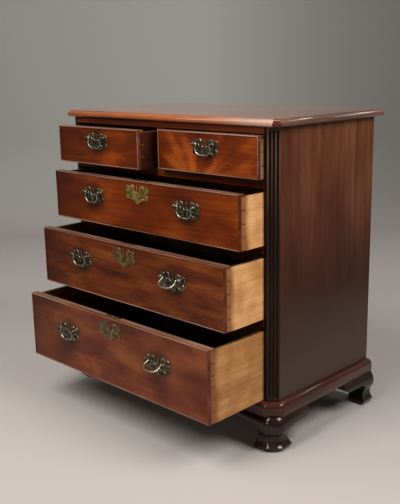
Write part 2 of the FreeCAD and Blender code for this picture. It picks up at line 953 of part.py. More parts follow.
os.makedirs("parts", exist_ok=True)

# Fixed pieces of the carcass
framing = inner_framing()
write("top", [top_board()])
side_panel = block(inner_half, half_width, front_y + corner_cant, back_y, foot_height, top_floor)
rebate = block(inner_half, inner_half + back_rebate, back_board_y, back_y, foot_height, top_floor)
post = corner_post().cut(Part.makeCompound(framing["drawer_rails"] + framing["top_frame"]))
for side, panel, corner, front_solids, rear_solids in zip(
    ("right", "left"),
    both_sides(side_panel.cut(rebate)),
    both_sides(post),
    both_sides(Part.makeCompound(front_foot())),
    both_sides(Part.makeCompound(rear_foot())),
):
    write("side_" + side, [panel])
    write("corner_" + side, [corner])
    write("foot_front_" + side, front_solids.Solids)
    write("foot_rear_" + side, rear_solids.Solids)
for node, solids in framing.items():
    write(node, solids)
write("drawer_stops", drawer_stops())
write("back_boards", back_boards())
bottom_top = foot_height + bottom_board_thickness
write("bottom_board", [block(-inner_half, inner_half, rail_back_y, back_board_y, foot_height, bottom_top)])
write("base_moulding", base_moulding())

# Two short drawers over three long ones
short_opening = opening_half - divider_width / 2
short_width = short_opening - 2 * gap_beside_front
short_x = (opening_half + divider_width / 2) / 2
long_width = 2 * (opening_half - gap_beside_front)
long_handles = [-long_handle_offset, long_handle_offset]
write_drawer(
    "short_left", -short_x, short_floor, short_width, short_front_height, short_left_open,
    [0.0], short_handle_drop, [0.0], False,
)
write_drawer(
    "short_right", short_x, short_floor, short_width, short_front_height, short_right_open,
    [0.0], short_handle_drop, [0.0], False,
)
write_drawer(
    "upper", 0.0, upper_floor, long_width, upper_front_height, upper_open,
    long_handles, upper_handle_drop, [0.0, 0.0], True,
)
write_drawer(
    "middle", 0.0, middle_floor, long_width, middle_front_height, middle_open,
    long_handles, middle_handle_drop, [0.0, middle_right_lean], True,
)
write_drawer(
    "lower", 0.0, lower_floor, long_width, lower_front_height, lower_open,
    long_handles, lower_handle_drop, [0.0, lower_right_lean], True,
)
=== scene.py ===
"""Looks of the chest of drawers: polished mahogany, bare oak and pine, aged brasses, studio and camera."""

import json
import logging
import math
from collections.abc import Callable
from dataclasses import dataclass, field, replace
from enum import Enum

import bmesh
import bpy
from mathutils import Matrix, Vector

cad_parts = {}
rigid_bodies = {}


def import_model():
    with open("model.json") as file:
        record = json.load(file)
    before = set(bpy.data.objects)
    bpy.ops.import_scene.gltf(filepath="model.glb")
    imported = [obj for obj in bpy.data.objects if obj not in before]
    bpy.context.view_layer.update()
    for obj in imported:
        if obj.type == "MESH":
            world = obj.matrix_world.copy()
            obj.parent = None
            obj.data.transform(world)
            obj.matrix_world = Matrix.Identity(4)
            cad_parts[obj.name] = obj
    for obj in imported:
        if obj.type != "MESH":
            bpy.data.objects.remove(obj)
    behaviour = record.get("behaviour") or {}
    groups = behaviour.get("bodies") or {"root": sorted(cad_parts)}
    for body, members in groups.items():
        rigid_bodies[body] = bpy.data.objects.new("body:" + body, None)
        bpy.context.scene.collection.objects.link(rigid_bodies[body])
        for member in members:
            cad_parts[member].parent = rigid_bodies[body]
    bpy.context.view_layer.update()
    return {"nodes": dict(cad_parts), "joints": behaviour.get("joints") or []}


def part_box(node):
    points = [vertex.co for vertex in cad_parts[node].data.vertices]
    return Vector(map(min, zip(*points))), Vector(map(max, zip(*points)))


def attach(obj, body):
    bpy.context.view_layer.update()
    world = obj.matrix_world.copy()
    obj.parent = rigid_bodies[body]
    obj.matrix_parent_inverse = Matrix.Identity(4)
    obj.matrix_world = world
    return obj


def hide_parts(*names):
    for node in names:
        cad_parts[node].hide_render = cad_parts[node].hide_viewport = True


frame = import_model()
log = logging.getLogger("chest")

MM = 0.001
WELD = 0.002 * MM
SHARP_TURN = math.radians(35)
# Sockets of a Mix node by number, because its values and colours share their names
SHARE, VALUE_A, VALUE_B, COLOUR_A, COLOUR_B, MIXED = 0, 2, 3, 6, 7, 2

Colour = tuple[float, float, float, float]
Point = tuple[float, float]
Place = tuple[float, float, float]
FaceTest = Callable[[Vector, Vector], bool]
Material = bpy.types.Material
Piece = bpy.types.Object
Socket = bpy.types.NodeSocket
Tree = bpy.types.NodeTree


def linear(hex_colour: str) -> Colour:
    """Turns an sRGB hex colour into linear light.

    Args:
        hex_colour: Colour written as #rrggbb.

    Returns:
        Red, green, blue and alpha.
    """
    channels = [int(hex_colour[i : i + 2], 16) / 255 for i in (1, 3, 5)]
    red, green, blue = [c / 12.92 if c <= 0.04045 else ((c + 0.055) / 1.055) ** 2.4 for c in channels]
    return (red, green, blue, 1.0)


def add_node(
    tree: Tree,
    kind: str,
    inputs: dict[int | str, object] | None = None,
    stops: list[tuple[float, str]] | None = None,
    **settings: object,
) -> bpy.types.Node:
    """Adds one node with its settings, ramp stops and links.

    Args:
        tree: Node tree that gets the node.
        kind: Blender's name for the node type, after ShaderNode.
        inputs: Values or output sockets by input name or number.
        stops: Positions and hex colours of a colour ramp.
        **settings: Properties of the node.

    Returns:
        The new node.
    """
    node = tree.nodes.new("ShaderNode" + kind)
    for name, value in settings.items():
        setattr(node, name, value)
    if stops:
        ramp = node.color_ramp.elements
        ramp.remove(ramp[1])
        ramp[0].position, ramp[0].color = stops[0][0], linear(stops[0][1])
        for position, colour in stops[1:]:
            ramp.new(position).color = linear(colour)
    for socket, value in (inputs or {}).items():
        if isinstance(value, Socket):
            tree.links.new(value, node.inputs[socket])
        else:
            node.inputs[socket].default_value = value
    return node


def blank_material(name: str) -> tuple[Material, Tree, Socket]:
    """Makes a material with an empty tree and an output.

    Args:
        name: Name of the real material and its finish.

    Returns:
        The material, its node tree and the surface socket to fill.
    """
    material = bpy.data.materials.new(name)
    material.use_nodes = True
    tree = material.node_tree
    tree.nodes.clear()
    output = add_node(tree, "OutputMaterial")
    return material, tree, output.inputs["Surface"]


class Grain(Enum):
    """Direction of the wood's fibres, as the turn that brings the pattern's length along them."""

    ALONG_X = (0.0, 0.0, 0.0)
    ALONG_Y = (0.0, 0.0, math.pi / 2)
    ALONG_Z = (0.0, -math.pi / 2, 0.0)


class Figure(Enum):
    """Figure that the saw brought out in a board."""

    PLAIN = "plain"
    RIBBON = "ribbon"
    FLAME = "flame"


def streaks(
    tree: Tree, grain: Grain, size_mm: tuple[float, float], centre: Place = (0.0, 0.0, 0.0), **noise: float
) -> Socket:
    """Adds streaks of a real length and width along the grain.

    Args:
        tree: Material's node tree.
        grain: Direction of the fibres.
        size_mm: Length and width of a streak.
        centre: Place round which the pattern is drawn, in metres.
        **noise: Inputs of the noise by name.

    Returns:
        Socket of the streaks' value.
    """
    length, width = (size * MM for size in size_mm)
    along = add_node(
        tree,
        "Mapping",
        {
            "Vector": add_node(tree, "TexCoord").outputs["Object"],
            "Location": centre,
            "Rotation": grain.value,
            "Scale": (length, width, width),
        },
        vector_type="TEXTURE",
    )
    inputs = {"Vector": along.outputs[0], "Scale": 1.0}
    inputs.update({name.capitalize(): value for name, value in noise.items()})
    return add_node(tree, "TexNoise", inputs).outputs["Fac"]


@dataclass(frozen=True)
class Shade:
    """Slow change of a finish towards another colour along one axis, which paints shade, and on the top's
    front edge a highlight.

    Attributes:
        axis: Letter of the axis.
        full: Place where the colour is strongest, in metres.
        none: Place where it ends, in metres.
        colour: The colour as sRGB hex.
    """

    axis: str
    full: float
    none: float
    colour: str


@dataclass(frozen=True)
class Mahogany:
    """French-polished mahogany: red-brown bands, dark open pores and a thin glossy skin of shellac.

    The bands and pores run with the grain. The polish gives soft reflections that grow at grazing angles.

    Attributes:
        name: Name of the wood and its finish.
        dark: Colour of the pores and the darkest bands, as sRGB hex, like the next two.
        middle: Colour between dark and light bands.
        light: Colour of the lightest bands.
        grain: Direction of the fibres.
        figure: Figure of the board.
        centre: Place round which the figure is drawn, in metres.
        band_mm: Length and width of the bands, as of the patches, fibres and pores below.
        patch_mm: Size of the cloudy patches.
        fibre_mm: Size of the fine streaks.
        pore_mm: Size of the pores.
        band_share: Share of the bands beside the patches.
        fibre_share: Share of the fine streaks.
        tones: Values of the pattern at which the three colours stand.
        ray_turn: Angle between the rays of a flame, in radians.
        ray_mm: Length of a ray.
        ray_waver_mm: Size of the patches in which the rays waver, and how far.
        glow_height_mm: Heights over the flame's centre where its glow starts and is full.
        glow_reach_mm: Distances from the centre where the glow starts to fade and is faint.
        roughness: Roughness of the wood under the polish.
        polish: Weight of the polish.
        polish_roughness: Roughness of the polish.
        grime: Colour of the grime.
        grime_spots: Places of the brasses that gather grime, in metres.
        grime_mm: Distances from a brass where the grime starts to fade and ends.
        grime_waver_mm: Size of the patches in which the grime's edge wavers, and how far.
        shades: Painted shade and highlights, as slow changes of colour over the board, laid on in turn.
    """

    name: str
    dark: str
    middle: str
    light: str
    grain: Grain = Grain.ALONG_X
    figure: Figure = Figure.PLAIN
    centre: Place = (0.0, 0.0, 0.0)
    band_mm: tuple[float, float] = (420.0, 16.0)
    patch_mm: tuple[float, float] = (260.0, 90.0)
    fibre_mm: tuple[float, float] = (70.0, 2.6)
    pore_mm: tuple[float, float] = (16.0, 1.1)
    band_share: float = 0.4
    fibre_share: float = 0.14
    tones: tuple[float, float, float] = (0.37, 0.5, 0.63)
    ray_turn: float = 0.45
    ray_mm: float = 220.0
    ray_waver_mm: tuple[float, float] = (1000.0 / 14.0, 30.0)
    glow_height_mm: tuple[float, float] = (100.0, 35.0)
    glow_reach_mm: tuple[float, float] = (50.0, 200.0)
    roughness: float = 0.36
    polish: float = 0.18
    polish_roughness: float = 0.16
    grime: str = "#1c0d08"
    grime_spots: tuple[Place, ...] = ()
    grime_mm: tuple[float, float] = (28.0, 78.0)
    grime_waver_mm: tuple[float, float] = (35.0, 30.0)
    shades: tuple[Shade, ...] = ()

    def flame(self, tree: Tree) -> Socket:
        """Adds rays that burst from the figure's centre, brightest below it, as in a board cut from a crotch.

        Args:
            tree: Material's node tree.

        Returns:
            Socket of the rays' value.
        """
        place = add_node(tree, "TexCoord").outputs["Object"]
        patch, drift = (size * MM for size in self.ray_waver_mm)
        waver = add_node(tree, "TexNoise", {"Vector": place, "Scale": 1.0 / patch, "Detail": 2.0})
        shift = add_node(
            tree, "VectorMath", {0: waver.outputs["Color"], 1: (drift, drift, drift)}, operation="MULTIPLY"
        )
        moved = add_node(tree, "VectorMath", {0: place, 1: shift.outputs[0]}, operation="ADD")
        local = add_node(
            tree, "Mapping", {"Vector": moved.outputs[0], "Location": self.centre}, vector_type="TEXTURE"
        )
        parts = add_node(tree, "SeparateXYZ", {0: local.outputs[0]})
        angle = add_node(tree, "Math", {0: parts.outputs["X"], 1: parts.outputs["Z"]}, operation="ARCTAN2")
        across = add_node(tree, "Math", {0: angle.outputs[0], 1: self.ray_turn}, operation="DIVIDE")
        reach = add_node(tree, "VectorMath", {0: local.outputs[0]}, operation="LENGTH")
        along = add_node(tree, "Math", {0: reach.outputs["Value"], 1: self.ray_mm * MM}, operation="DIVIDE")
        ray = add_node(tree, "CombineXYZ", {0: across.outputs[0], 1: along.outputs[0]})
        noise = add_node(tree, "TexNoise", {"Vector": ray.outputs[0], "Scale": 1.0, "Detail": 2.0})
        high, low = (height * MM for height in self.glow_height_mm)
        below = add_node(
            tree,
            "MapRange",
            {"Value": parts.outputs["Z"], "From Min": high, "From Max": low, "To Min": -0.05, "To Max": 0.24},
        )
        inner, outer = (size * MM for size in self.glow_reach_mm)
        near = add_node(
            tree,
            "MapRange",
            {
                "Value": reach.outputs["Value"],
                "From Min": inner,
                "From Max": outer,
                "To Min": 1.0,
                "To Max": 0.2,
            },
        )
        glow = add_node(tree, "Math", {0: below.outputs[0], 1: near.outputs[0]}, operation="MULTIPLY")
        return add_node(tree, "Math", {0: noise.outputs["Fac"], 1: glow.outputs[0]}).outputs[0]

    def clean_share(self, tree: Tree) -> Socket:
        """Adds the dark that cleaning leaves round each brass.

        Args:
            tree: Material's node tree.

        Returns:
            Socket that is 1 on clean wood and less near a brass.
        """
        place = add_node(tree, "TexCoord").outputs["Object"]
        patch, drift = (size * MM for size in self.grime_waver_mm)
        near, far = (size * MM for size in self.grime_mm)
        waver = add_node(tree, "TexNoise", {"Vector": place, "Scale": 1.0 / patch, "Detail": 3.0})
        clean = None
        for spot in self.grime_spots:
            apart = add_node(tree, "VectorMath", {0: place, 1: spot}, operation="DISTANCE")
            ragged = add_node(
                tree,
                "Math",
                {0: waver.outputs["Fac"], 1: drift, 2: apart.outputs["Value"]},
                operation="MULTIPLY_ADD",
            )
            share = add_node(
                tree,
                "MapRange",
                {"Value": ragged.outputs[0], "From Min": near, "From Max": far, "To Min": 0.25},
                interpolation_type="SMOOTHSTEP",
            ).outputs[0]
            if clean is None:
                clean = share
            else:
                clean = add_node(tree, "Math", {0: clean, 1: share}, operation="MULTIPLY").outputs[0]
        return clean

    def material(self) -> Material:
        """Builds the polished wood's material.

        Returns:
            The material.
        """
        material, tree, surface = blank_material(self.name)
        if self.figure is Figure.FLAME:
            bands = self.flame(tree)
        else:
            waver = 1.4 if self.figure is Figure.RIBBON else 0.7
            bands = streaks(tree, self.grain, self.band_mm, self.centre, detail=3.0, distortion=waver)
        patches = streaks(tree, self.grain, self.patch_mm, self.centre, detail=2.0)
        fibres = streaks(tree, self.grain, self.fibre_mm, self.centre, detail=2.0)
        first = add_node(tree, "Mix", {SHARE: 1.0 - self.band_share, VALUE_A: bands, VALUE_B: patches})
        second = add_node(tree, "Mix", {SHARE: self.fibre_share, VALUE_A: first.outputs[0], VALUE_B: fibres})
        colour = add_node(
            tree,
            "ValToRGB",
            {"Fac": second.outputs[0]},
            stops=list(zip(self.tones, (self.dark, self.middle, self.light))),
        )
        # Pores are about 0.2 mm wide in the real wood, and are drawn coarser so that they show
        pores = streaks(tree, self.grain, self.pore_mm, self.centre, detail=1.0)
        pits = add_node(
            tree,
            "MapRange",
            {"Value": pores, "From Min": 0.56, "From Max": 0.7, "To Min": 0.0, "To Max": 0.35},
        )
        tone = add_node(
            tree,
            "Mix",
            {SHARE: pits.outputs[0], COLOUR_A: colour.outputs[0], COLOUR_B: linear(self.dark)},
            data_type="RGBA",
        )
        if self.grime_spots:
            tone = add_node(
                tree,
                "Mix",
                {SHARE: self.clean_share(tree), COLOUR_A: linear(self.grime), COLOUR_B: tone.outputs[MIXED]},
                data_type="RGBA",
            )
        for shade in self.shades:
            place = add_node(tree, "TexCoord").outputs["Object"]
            parts = add_node(tree, "SeparateXYZ", {0: place})
            share = add_node(
                tree,
                "MapRange",
                {
                    "Value": parts.outputs[shade.axis],
                    "From Min": shade.full,
                    "From Max": shade.none,
                    "To Min": 0.15,
                },
                interpolation_type="SMOOTHSTEP",
            )
            tone = add_node(
                tree,
                "Mix",
                {SHARE: share.outputs[0], COLOUR_A: linear(shade.colour), COLOUR_B: tone.outputs[MIXED]},
                data_type="RGBA",
            )
        dull = add_node(
            tree,
            "MapRange",
            {
                "Value": patches,
                "From Min": 0.3,
                "From Max": 0.7,
                "To Min": self.roughness - 0.06,
                "To Max": self.roughness + 0.08,
            },
        )
        dents = add_node(
            tree, "Bump", {"Strength": 0.12, "Distance": 0.4 * MM, "Height": pits.outputs[0]}, invert=True
        )
        shader = add_node(
            tree,
            "BsdfPrincipled",
            {
                "Base Color": tone.outputs[MIXED],
                "Roughness": dull.outputs[0],
                "Normal": dents.outputs[0],
                "Specular IOR Level": 0.06,
                "Coat Weight": self.polish,
                "Coat Roughness": self.polish_roughness,
            },
        )
        tree.links.new(shader.outputs[0], surface)
        return material


@dataclass(frozen=True)
class BareWood:
    """Unpolished oak or pine: matt streaks along the grain, darker growth lines and a little grime.

    Beside a drawer front, polish or wear has coloured the wood as far as the places in stained_y, in metres.
    """

    name: str
    dark: str
    middle: str
    light: str
    stain: str
    grain: Grain = Grain.ALONG_X
    band_mm: tuple[float, float] = (300.0, 7.0)
    grime_mm: float = 70.0
    tones: tuple[float, float, float] = (0.32, 0.5, 0.68)
    fine_share: float = 0.35
    polish_stain: str = "#884c28"
    stained_y: tuple[float, float] | None = None
    roughness: float = 0.62

    def material(self) -> Material:
        """Builds the bare wood's material.

        Returns:
            The material.
        """
        material, tree, surface = blank_material(self.name)
        place = add_node(tree, "TexCoord").outputs["Object"]
        # Pores are about 0.3 mm wide in real oak, and the second layer draws them coarser so that they show
        fine_mm = tuple(size / 4 for size in self.band_mm)
        bands = streaks(tree, self.grain, self.band_mm, detail=3.0, distortion=0.8)
        pores = streaks(tree, self.grain, fine_mm, detail=3.0, distortion=0.2)
        both = add_node(tree, "Mix", {SHARE: self.fine_share, VALUE_A: bands, VALUE_B: pores})
        colour = add_node(
            tree,
            "ValToRGB",
            {"Fac": both.outputs[0]},
            stops=list(zip(self.tones, (self.dark, self.middle, self.light))),
        )
        grime = add_node(
            tree, "TexNoise", {"Vector": place, "Scale": 1.0 / (self.grime_mm * MM), "Detail": 4.0}
        )
        share = add_node(
            tree,
            "MapRange",
            {"Value": grime.outputs["Fac"], "From Min": 0.4, "From Max": 0.7, "To Min": 0.0, "To Max": 0.75},
        )
        tone = add_node(
            tree,
            "Mix",
            {SHARE: share.outputs[0], COLOUR_A: colour.outputs[0], COLOUR_B: linear(self.stain)},
            data_type="RGBA",
        )
        if self.stained_y:
            full, none = self.stained_y
            parts = add_node(tree, "SeparateXYZ", {0: place})
            ragged = add_node(
                tree,
                "Math",
                {0: grime.outputs["Fac"], 1: full - none, 2: parts.outputs["Y"]},
                operation="MULTIPLY_ADD",
            )
            near = add_node(
                tree,
                "MapRange",
                {
                    "Value": ragged.outputs[0],
                    "From Min": full,
                    "From Max": none,
                    "To Min": 0.85,
                    "To Max": 0.0,
                },
                interpolation_type="SMOOTHSTEP",
            )
            tone = add_node(
                tree,
                "Mix",
                {SHARE: near.outputs[0], COLOUR_A: tone.outputs[MIXED], COLOUR_B: linear(self.polish_stain)},
                data_type="RGBA",
            )
        ridges = add_node(tree, "Bump", {"Strength": 0.15, "Distance": 0.5 * MM, "Height": pores})
        shader = add_node(
            tree,
            "BsdfPrincipled",
            {
                "Base Color": tone.outputs[MIXED],
                "Roughness": self.roughness,
                "Normal": ridges.outputs[0],
                "Specular IOR Level": 0.2,
            },
        )
        tree.links.new(shader.outputs[0], surface)
        return material


@dataclass(frozen=True)
class AgedMetal:
    """Cast brass or wrought iron: a dull brown-green patina, rubbed in patches to bare, shinier metal."""

    name: str
    patina: str
    bare: str
    patina_share: float = 0.6
    rub_margin: tuple[float, float] = (0.15, 0.1)
    patch_mm: float = 9.0
    pit_mm: float = 1.2
    roughness: tuple[float, float] = (0.28, 0.5)

    def material(self) -> Material:
        """Builds the metal's material.

        Returns:
            The material.
        """
        material, tree, surface = blank_material(self.name)
        place = add_node(tree, "TexCoord").outputs["Object"]
        cloud = add_node(
            tree, "TexNoise", {"Vector": place, "Scale": 1.0 / (self.patch_mm * MM), "Detail": 5.0}
        )
        worn = add_node(
            tree,
            "MapRange",
            {
                "Value": cloud.outputs["Fac"],
                "From Min": self.patina_share - self.rub_margin[0],
                "From Max": self.patina_share + self.rub_margin[1],
            },
        )
        colour = add_node(
            tree,
            "Mix",
            {SHARE: worn.outputs[0], COLOUR_A: linear(self.patina), COLOUR_B: linear(self.bare)},
            data_type="RGBA",
        )
        dull = add_node(
            tree,
            "MapRange",
            {"Value": worn.outputs[0], "To Min": self.roughness[1], "To Max": self.roughness[0]},
        )
        # Pits of the casting sand are about 0.3 mm across, and are drawn coarser so that they show
        pits = add_node(tree, "TexNoise", {"Vector": place, "Scale": 1.0 / (self.pit_mm * MM), "Detail": 3.0})
        skin = add_node(tree, "Bump", {"Strength": 0.15, "Distance": 0.3 * MM, "Height": pits.outputs["Fac"]})
        shader = add_node(
            tree,
            "BsdfPrincipled",
            {
                "Base Color": colour.outputs[MIXED],
                "Metallic": 1.0,
                "Roughness": dull.outputs[0],
                "Normal": skin.outputs[0],
            },
        )
        tree.links.new(shader.outputs[0], surface)
        return material


Finish = Mahogany | BareWood | AgedMetal


def select_only(obj: Piece) -> None:
    """Deselects everything else and makes an object active.

    Args:
        obj: Object to select.
    """
    for other in bpy.context.selected_objects:
        other.select_set(False)
    obj.select_set(True)
    bpy.context.view_layer.objects.active = obj


def apply_modifier(obj: Piece, kind: str, **settings: object) -> None:
    """Adds a modifier with its settings and applies it.

    Args:
        obj: Mesh object.
        kind: Blender's name for the modifier type.
        **settings: Properties of the modifier.
    """
    select_only(obj)
    modifier = obj.modifiers.new(kind.lower(), kind)
    for name, value in settings.items():
        setattr(modifier, name, value)
    bpy.ops.object.modifier_apply(modifier=modifier.name)


def closed_groups(mesh: bpy.types.Mesh) -> list[list[int]]:
    """Splits a mesh of loose triangles into its closed solids, which follow each other.

    Args:
        mesh: Copy of a node's mesh.

    Returns:
        Vertex numbers of each solid.
    """
    keys = [tuple(round(c, 6) for c in v.co) for v in mesh.vertices]
    groups: list[list[int]] = []
    unmatched: set[tuple[Place, Place]] = set()
    current: set[int] = set()
    for face in mesh.polygons:
        corners = list(face.vertices)
        current.update(corners)
        for a, b in zip(corners, corners[1:] + corners[:1]):
            if (keys[b], keys[a]) in unmatched:
                unmatched.remove((keys[b], keys[a]))
            else:
                unmatched.add((keys[a], keys[b]))
        if not unmatched:
            groups.append(sorted(current))
            current = set()
    if current:
        groups.append(sorted(current))
    return groups


def weigh_corners(obj: Piece, corner_mm: float, edge_mm: float) -> None:
    """Marks how much each edge is rounded: cant edges fully, other sharp edges a little.

    Args:
        obj: Mesh object in edit mode.
        corner_mm: Width of the rounding on cant edges.
        edge_mm: Width of the easing on other sharp edges.
    """
    mesh = bmesh.from_edit_mesh(obj.data)
    weight = mesh.edges.layers.float.new("bevel_weight_edge")
    for edge in mesh.edges:
        if len(edge.link_faces) != 2:
            continue
        first, second = (face.normal for face in edge.link_faces)
        level = [Vector((n.x, n.y)) for n in (first, second)]
        # A cant turns by about 45 degrees in plan, between faces of the same slope
        on_cant = (
            min(n.length for n in level) > 0.05
            and abs(first.z - second.z) < 0.03
            and 0.6 < level[0].normalized().dot(level[1].normalized()) < 0.8
        )
        if on_cant:
            edge[weight] = 1.0
        elif first.angle(second, 0.0) > SHARP_TURN:
            edge[weight] = edge_mm / corner_mm
    bmesh.update_edit_mesh(obj.data)


def refined_copy(node: str, edge_mm: float, corner_mm: float = 0.0) -> Piece:
    """Copies a node, welds each of its solids, eases its edges and smooths its curves.

    Args:
        node: Name of the CAD node.
        edge_mm: Width of the eased edges.
        corner_mm: Width of the rounding where a canted corner turns.

    Returns:
        The new object, which has no material yet.
    """
    obj = bpy.data.objects.new(node + "_dressed", frame["nodes"][node].data.copy())
    bpy.context.scene.collection.objects.link(obj)
    obj.data.materials.clear()
    groups = closed_groups(obj.data)
    select_only(obj)
    bpy.ops.object.mode_set(mode="EDIT")
    bpy.ops.mesh.select_mode(type="VERT")
    mesh = bmesh.from_edit_mesh(obj.data)
    mesh.verts.ensure_lookup_table()
    solids = [[mesh.verts[i] for i in group] for group in groups]
    for solid in solids:
        bpy.ops.mesh.select_all(action="DESELECT")
        for vertex in solid:
            vertex.select = True
        bmesh.update_edit_mesh(obj.data)
        bpy.ops.mesh.remove_doubles(threshold=WELD)
    bpy.ops.mesh.select_all(action="SELECT")
    bpy.ops.mesh.dissolve_limited(angle_limit=math.radians(0.5))
    if corner_mm:
        weigh_corners(obj, corner_mm, edge_mm)
    bpy.ops.object.mode_set(mode="OBJECT")
    apply_modifier(
        obj,
        "BEVEL",
        width=(corner_mm or edge_mm) * MM,
        segments=3 if corner_mm else 1,
        limit_method="WEIGHT" if corner_mm else "ANGLE",
        angle_limit=SHARP_TURN,
    )
    select_only(obj)
    bpy.ops.object.shade_smooth_by_angle(angle=math.radians(21))
    return obj


def enlist(obj: Piece, body: str, node: str) -> Piece:
    """Lets a finished piece ride on its body and stand for its CAD node.

    Args:
        obj: Finished piece.
        body: CAD body that carries it.
        node: CAD node that it replaces.

    Returns:
        The same object.
    """
    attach(obj, body)
    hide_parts(node)
    log.info("%s rides on %s: %d faces", obj.name, body, len(obj.data.polygons))
    return obj


def paint_faces(obj: Piece, index: int, test: FaceTest) -> None:
    """Gives the faces that pass a test another of the object's materials.

    Args:
        obj: Mesh object.
        index: Number of the material.
        test: Function of a face's centre and normal.
    """
    for face in obj.data.polygons:
        if test(face.center, face.normal):
            face.material_index = index


def solid_of_curve(curve: bpy.types.Curve, smooth_deg: float, stand: Matrix) -> Piece:
    """Turns a drawn curve with a thickness into a closed mesh.

    Args:
        curve: The curve.
        smooth_deg: Largest turn between two faces that looks smooth.
        stand: Turn and shift that bring it to its place.

    Returns:
        The piece, named like the curve.
    """
    obj = bpy.data.objects.new(curve.name, curve)
    bpy.context.scene.collection.objects.link(obj)
    select_only(obj)
    bpy.ops.object.convert(target="MESH")
    obj = bpy.context.active_object
    obj.data.transform(stand)
    bpy.ops.object.mode_set(mode="EDIT")
    bpy.ops.mesh.select_all(action="SELECT")
    bpy.ops.mesh.remove_doubles(threshold=0.01 * MM)
    bpy.ops.mesh.normals_make_consistent(inside=False)
    bpy.ops.object.mode_set(mode="OBJECT")
    bpy.ops.object.shade_smooth_by_angle(angle=math.radians(smooth_deg))
    return obj


@dataclass
class Workshop:
    """The finishes of the chest, each built once and shared."""

    built: dict[str, Material] = field(default_factory=dict)

    def dress(self, obj: Piece, *finishes: Finish) -> None:
        """Gives a piece its finishes in place of any that it has.

        Args:
            obj: Mesh object.
            *finishes: Finishes in the order of their numbers.
        """
        obj.data.materials.clear()
        for finish in finishes:
            if finish.name not in self.built:
                self.built[finish.name] = finish.material()
            obj.data.materials.append(self.built[finish.name])


# Top and rails: warm, glossy French-polished mahogany; the top's front edge has a painted highlight, pale
# towards the right, the side edges painted shade with a painted grey reflection of the wall, and the cants
# painted shade
TOP_WOOD = Mahogany(
    "polished_mahogany_top",
    "#602e18",
    "#864828",
    "#a05c38",
    roughness=0.24,
    polish=1.0,
    polish_roughness=0.06,
)
# Front edge of the top: a painted highlight, pale towards the right corner
TOP_EDGE_WOOD = Mahogany(
    "rubbed_mahogany_top_front_edge", "#6a3218", "#924e26", "#ac6638", roughness=0.24, polish=1.0,
    polish_roughness=0.08, shades=(Shade("X", 0.42, 0.16, "#b69a8a"),),
)
# Side edges of the top: darker and greyer than the front edge, painted shade with a painted reflection of the
# grey wall
TOP_SIDE_EDGE_WOOD = Mahogany(
    "polished_mahogany_top_side_edge", "#3e2318", "#5c3a2a", "#72503e", grain=Grain.ALONG_Y, polish=1.0,
    polish_roughness=0.08,
)
# Cants of the top: painted shade, dark and less glossy
TOP_CANT_WOOD = Mahogany("dark_mahogany_top_corners", "#3a1a0e", "#582a1a", "#6e3c2a", polish=0.4)
RAIL_WOOD = Mahogany("polished_mahogany_rails", "#3a1407", "#58240d", "#703618", roughness=0.4)
# Drawer fronts behind their faces: upper edges paler and greyer with wear and a painted highlight, paler
# where the end grain shows
EDGE_WOOD = Mahogany("worn_mahogany_front_edges", "#462c20", "#684a3c", "#826656", roughness=0.5, polish=0.3)
FRONT_END_WOOD = Mahogany("end_grain_mahogany_fronts", "#54280f", "#764222", "#8c5634", roughness=0.5)
# Sides and corners: upright grain under an old polish, with painted shade lower down, a painted grey
# reflection of the floor low on the sides, and painted shade, near black, in the flutes
# Sides: painted shade lower down, and near the bottom a painted reflection of the floor, greyer
SIDE_WOOD = Mahogany(
    "polished_mahogany_sides", "#442212", "#5f3520", "#74482f", grain=Grain.ALONG_Z, polish=0.3,
    shades=(Shade("Z", 0.3, 0.8, "#2a0f06"), Shade("Z", 0.14, 0.44, "#463830")),
)
# Corners: painted shade on the lower part, where the open drawers shadow it
CORNER_WOOD = Mahogany(
    "polished_mahogany_corners", "#483026", "#62463a", "#7c6052", grain=Grain.ALONG_Z,
    shades=(Shade("Z", 0.58, 0.78, "#140806"),),
)
# Flutes: painted shade, near black, in the hollows
FLUTE_WOOD = Mahogany("grimy_mahogany_flutes", "#0c0503", "#180b07", "#26130c", grain=Grain.ALONG_Z)
# Base and feet: nearly black wood under a thick polish with small, sharp highlights
MOULDING_WOOD_X = Mahogany(
    "polished_mahogany_base_front", "#240e07", "#401c10", "#5a2f20", polish=0.6, polish_roughness=0.1
)
MOULDING_WOOD_Y = replace(MOULDING_WOOD_X, name="polished_mahogany_base_side", grain=Grain.ALONG_Y)
FOOT_WOOD_X = Mahogany(
    "dark_polished_mahogany_foot_fronts", "#0c0402", "#1c0b06", "#2e150d", polish=0.75, polish_roughness=0.1
)
FOOT_WOOD_Y = replace(FOOT_WOOD_X, name="dark_polished_mahogany_foot_sides", grain=Grain.ALONG_Y)
# Cockbeads: a dark line round each front, with a painted highlight, pale, on the noses
BEAD_WOOD = Mahogany("polished_mahogany_beads", "#3e1a0c", "#5e2e1a", "#784630", roughness=0.3, polish=0.35)
BEAD_NOSE_WOOD = Mahogany(
    "worn_mahogany_bead_noses", "#5e3c2c", "#84604e", "#a07c68", roughness=0.3, polish=0.6
)
# Bare oak: pale and matt outside, browner where dirt reached it; painted shade darkens the lower drawer's
# sides, the aged insides and, near black, the sides between the short drawers
OAK_OUTSIDE = BareWood(
    "bare_oak_drawer_sides", "#d49a60", "#e8ae74", "#f0c090", stain="#b87840", grain=Grain.ALONG_Y,
    band_mm=(260.0, 9.0),
)
# Lower drawer: darker oak, painted shade where the light falls off downward
OAK_SHADED_LOWER = replace(
    OAK_OUTSIDE,
    name="grimy_oak_drawer_sides",
    dark="#ac7440",
    middle="#c08852",
    light="#cf9c6a",
    stain="#8a542a",
)
OAK_WORN = replace(OAK_OUTSIDE, name="worn_oak_drawer_sides", polish_stain="#7e6246", grime_mm=30.0)
# Sides between the short drawers: painted shade, near black
OAK_IN_SHADE = BareWood(
    "darkened_oak_inner_sides", "#2a0f06", "#40190b", "#502210", stain="#220c05", grain=Grain.ALONG_Y
)
# Insides: aged oak, darker also with painted shade
OAK_INSIDE = BareWood("aged_oak_drawer_insides", "#452c16", "#664624", "#7e5a32", stain="#3a2412")
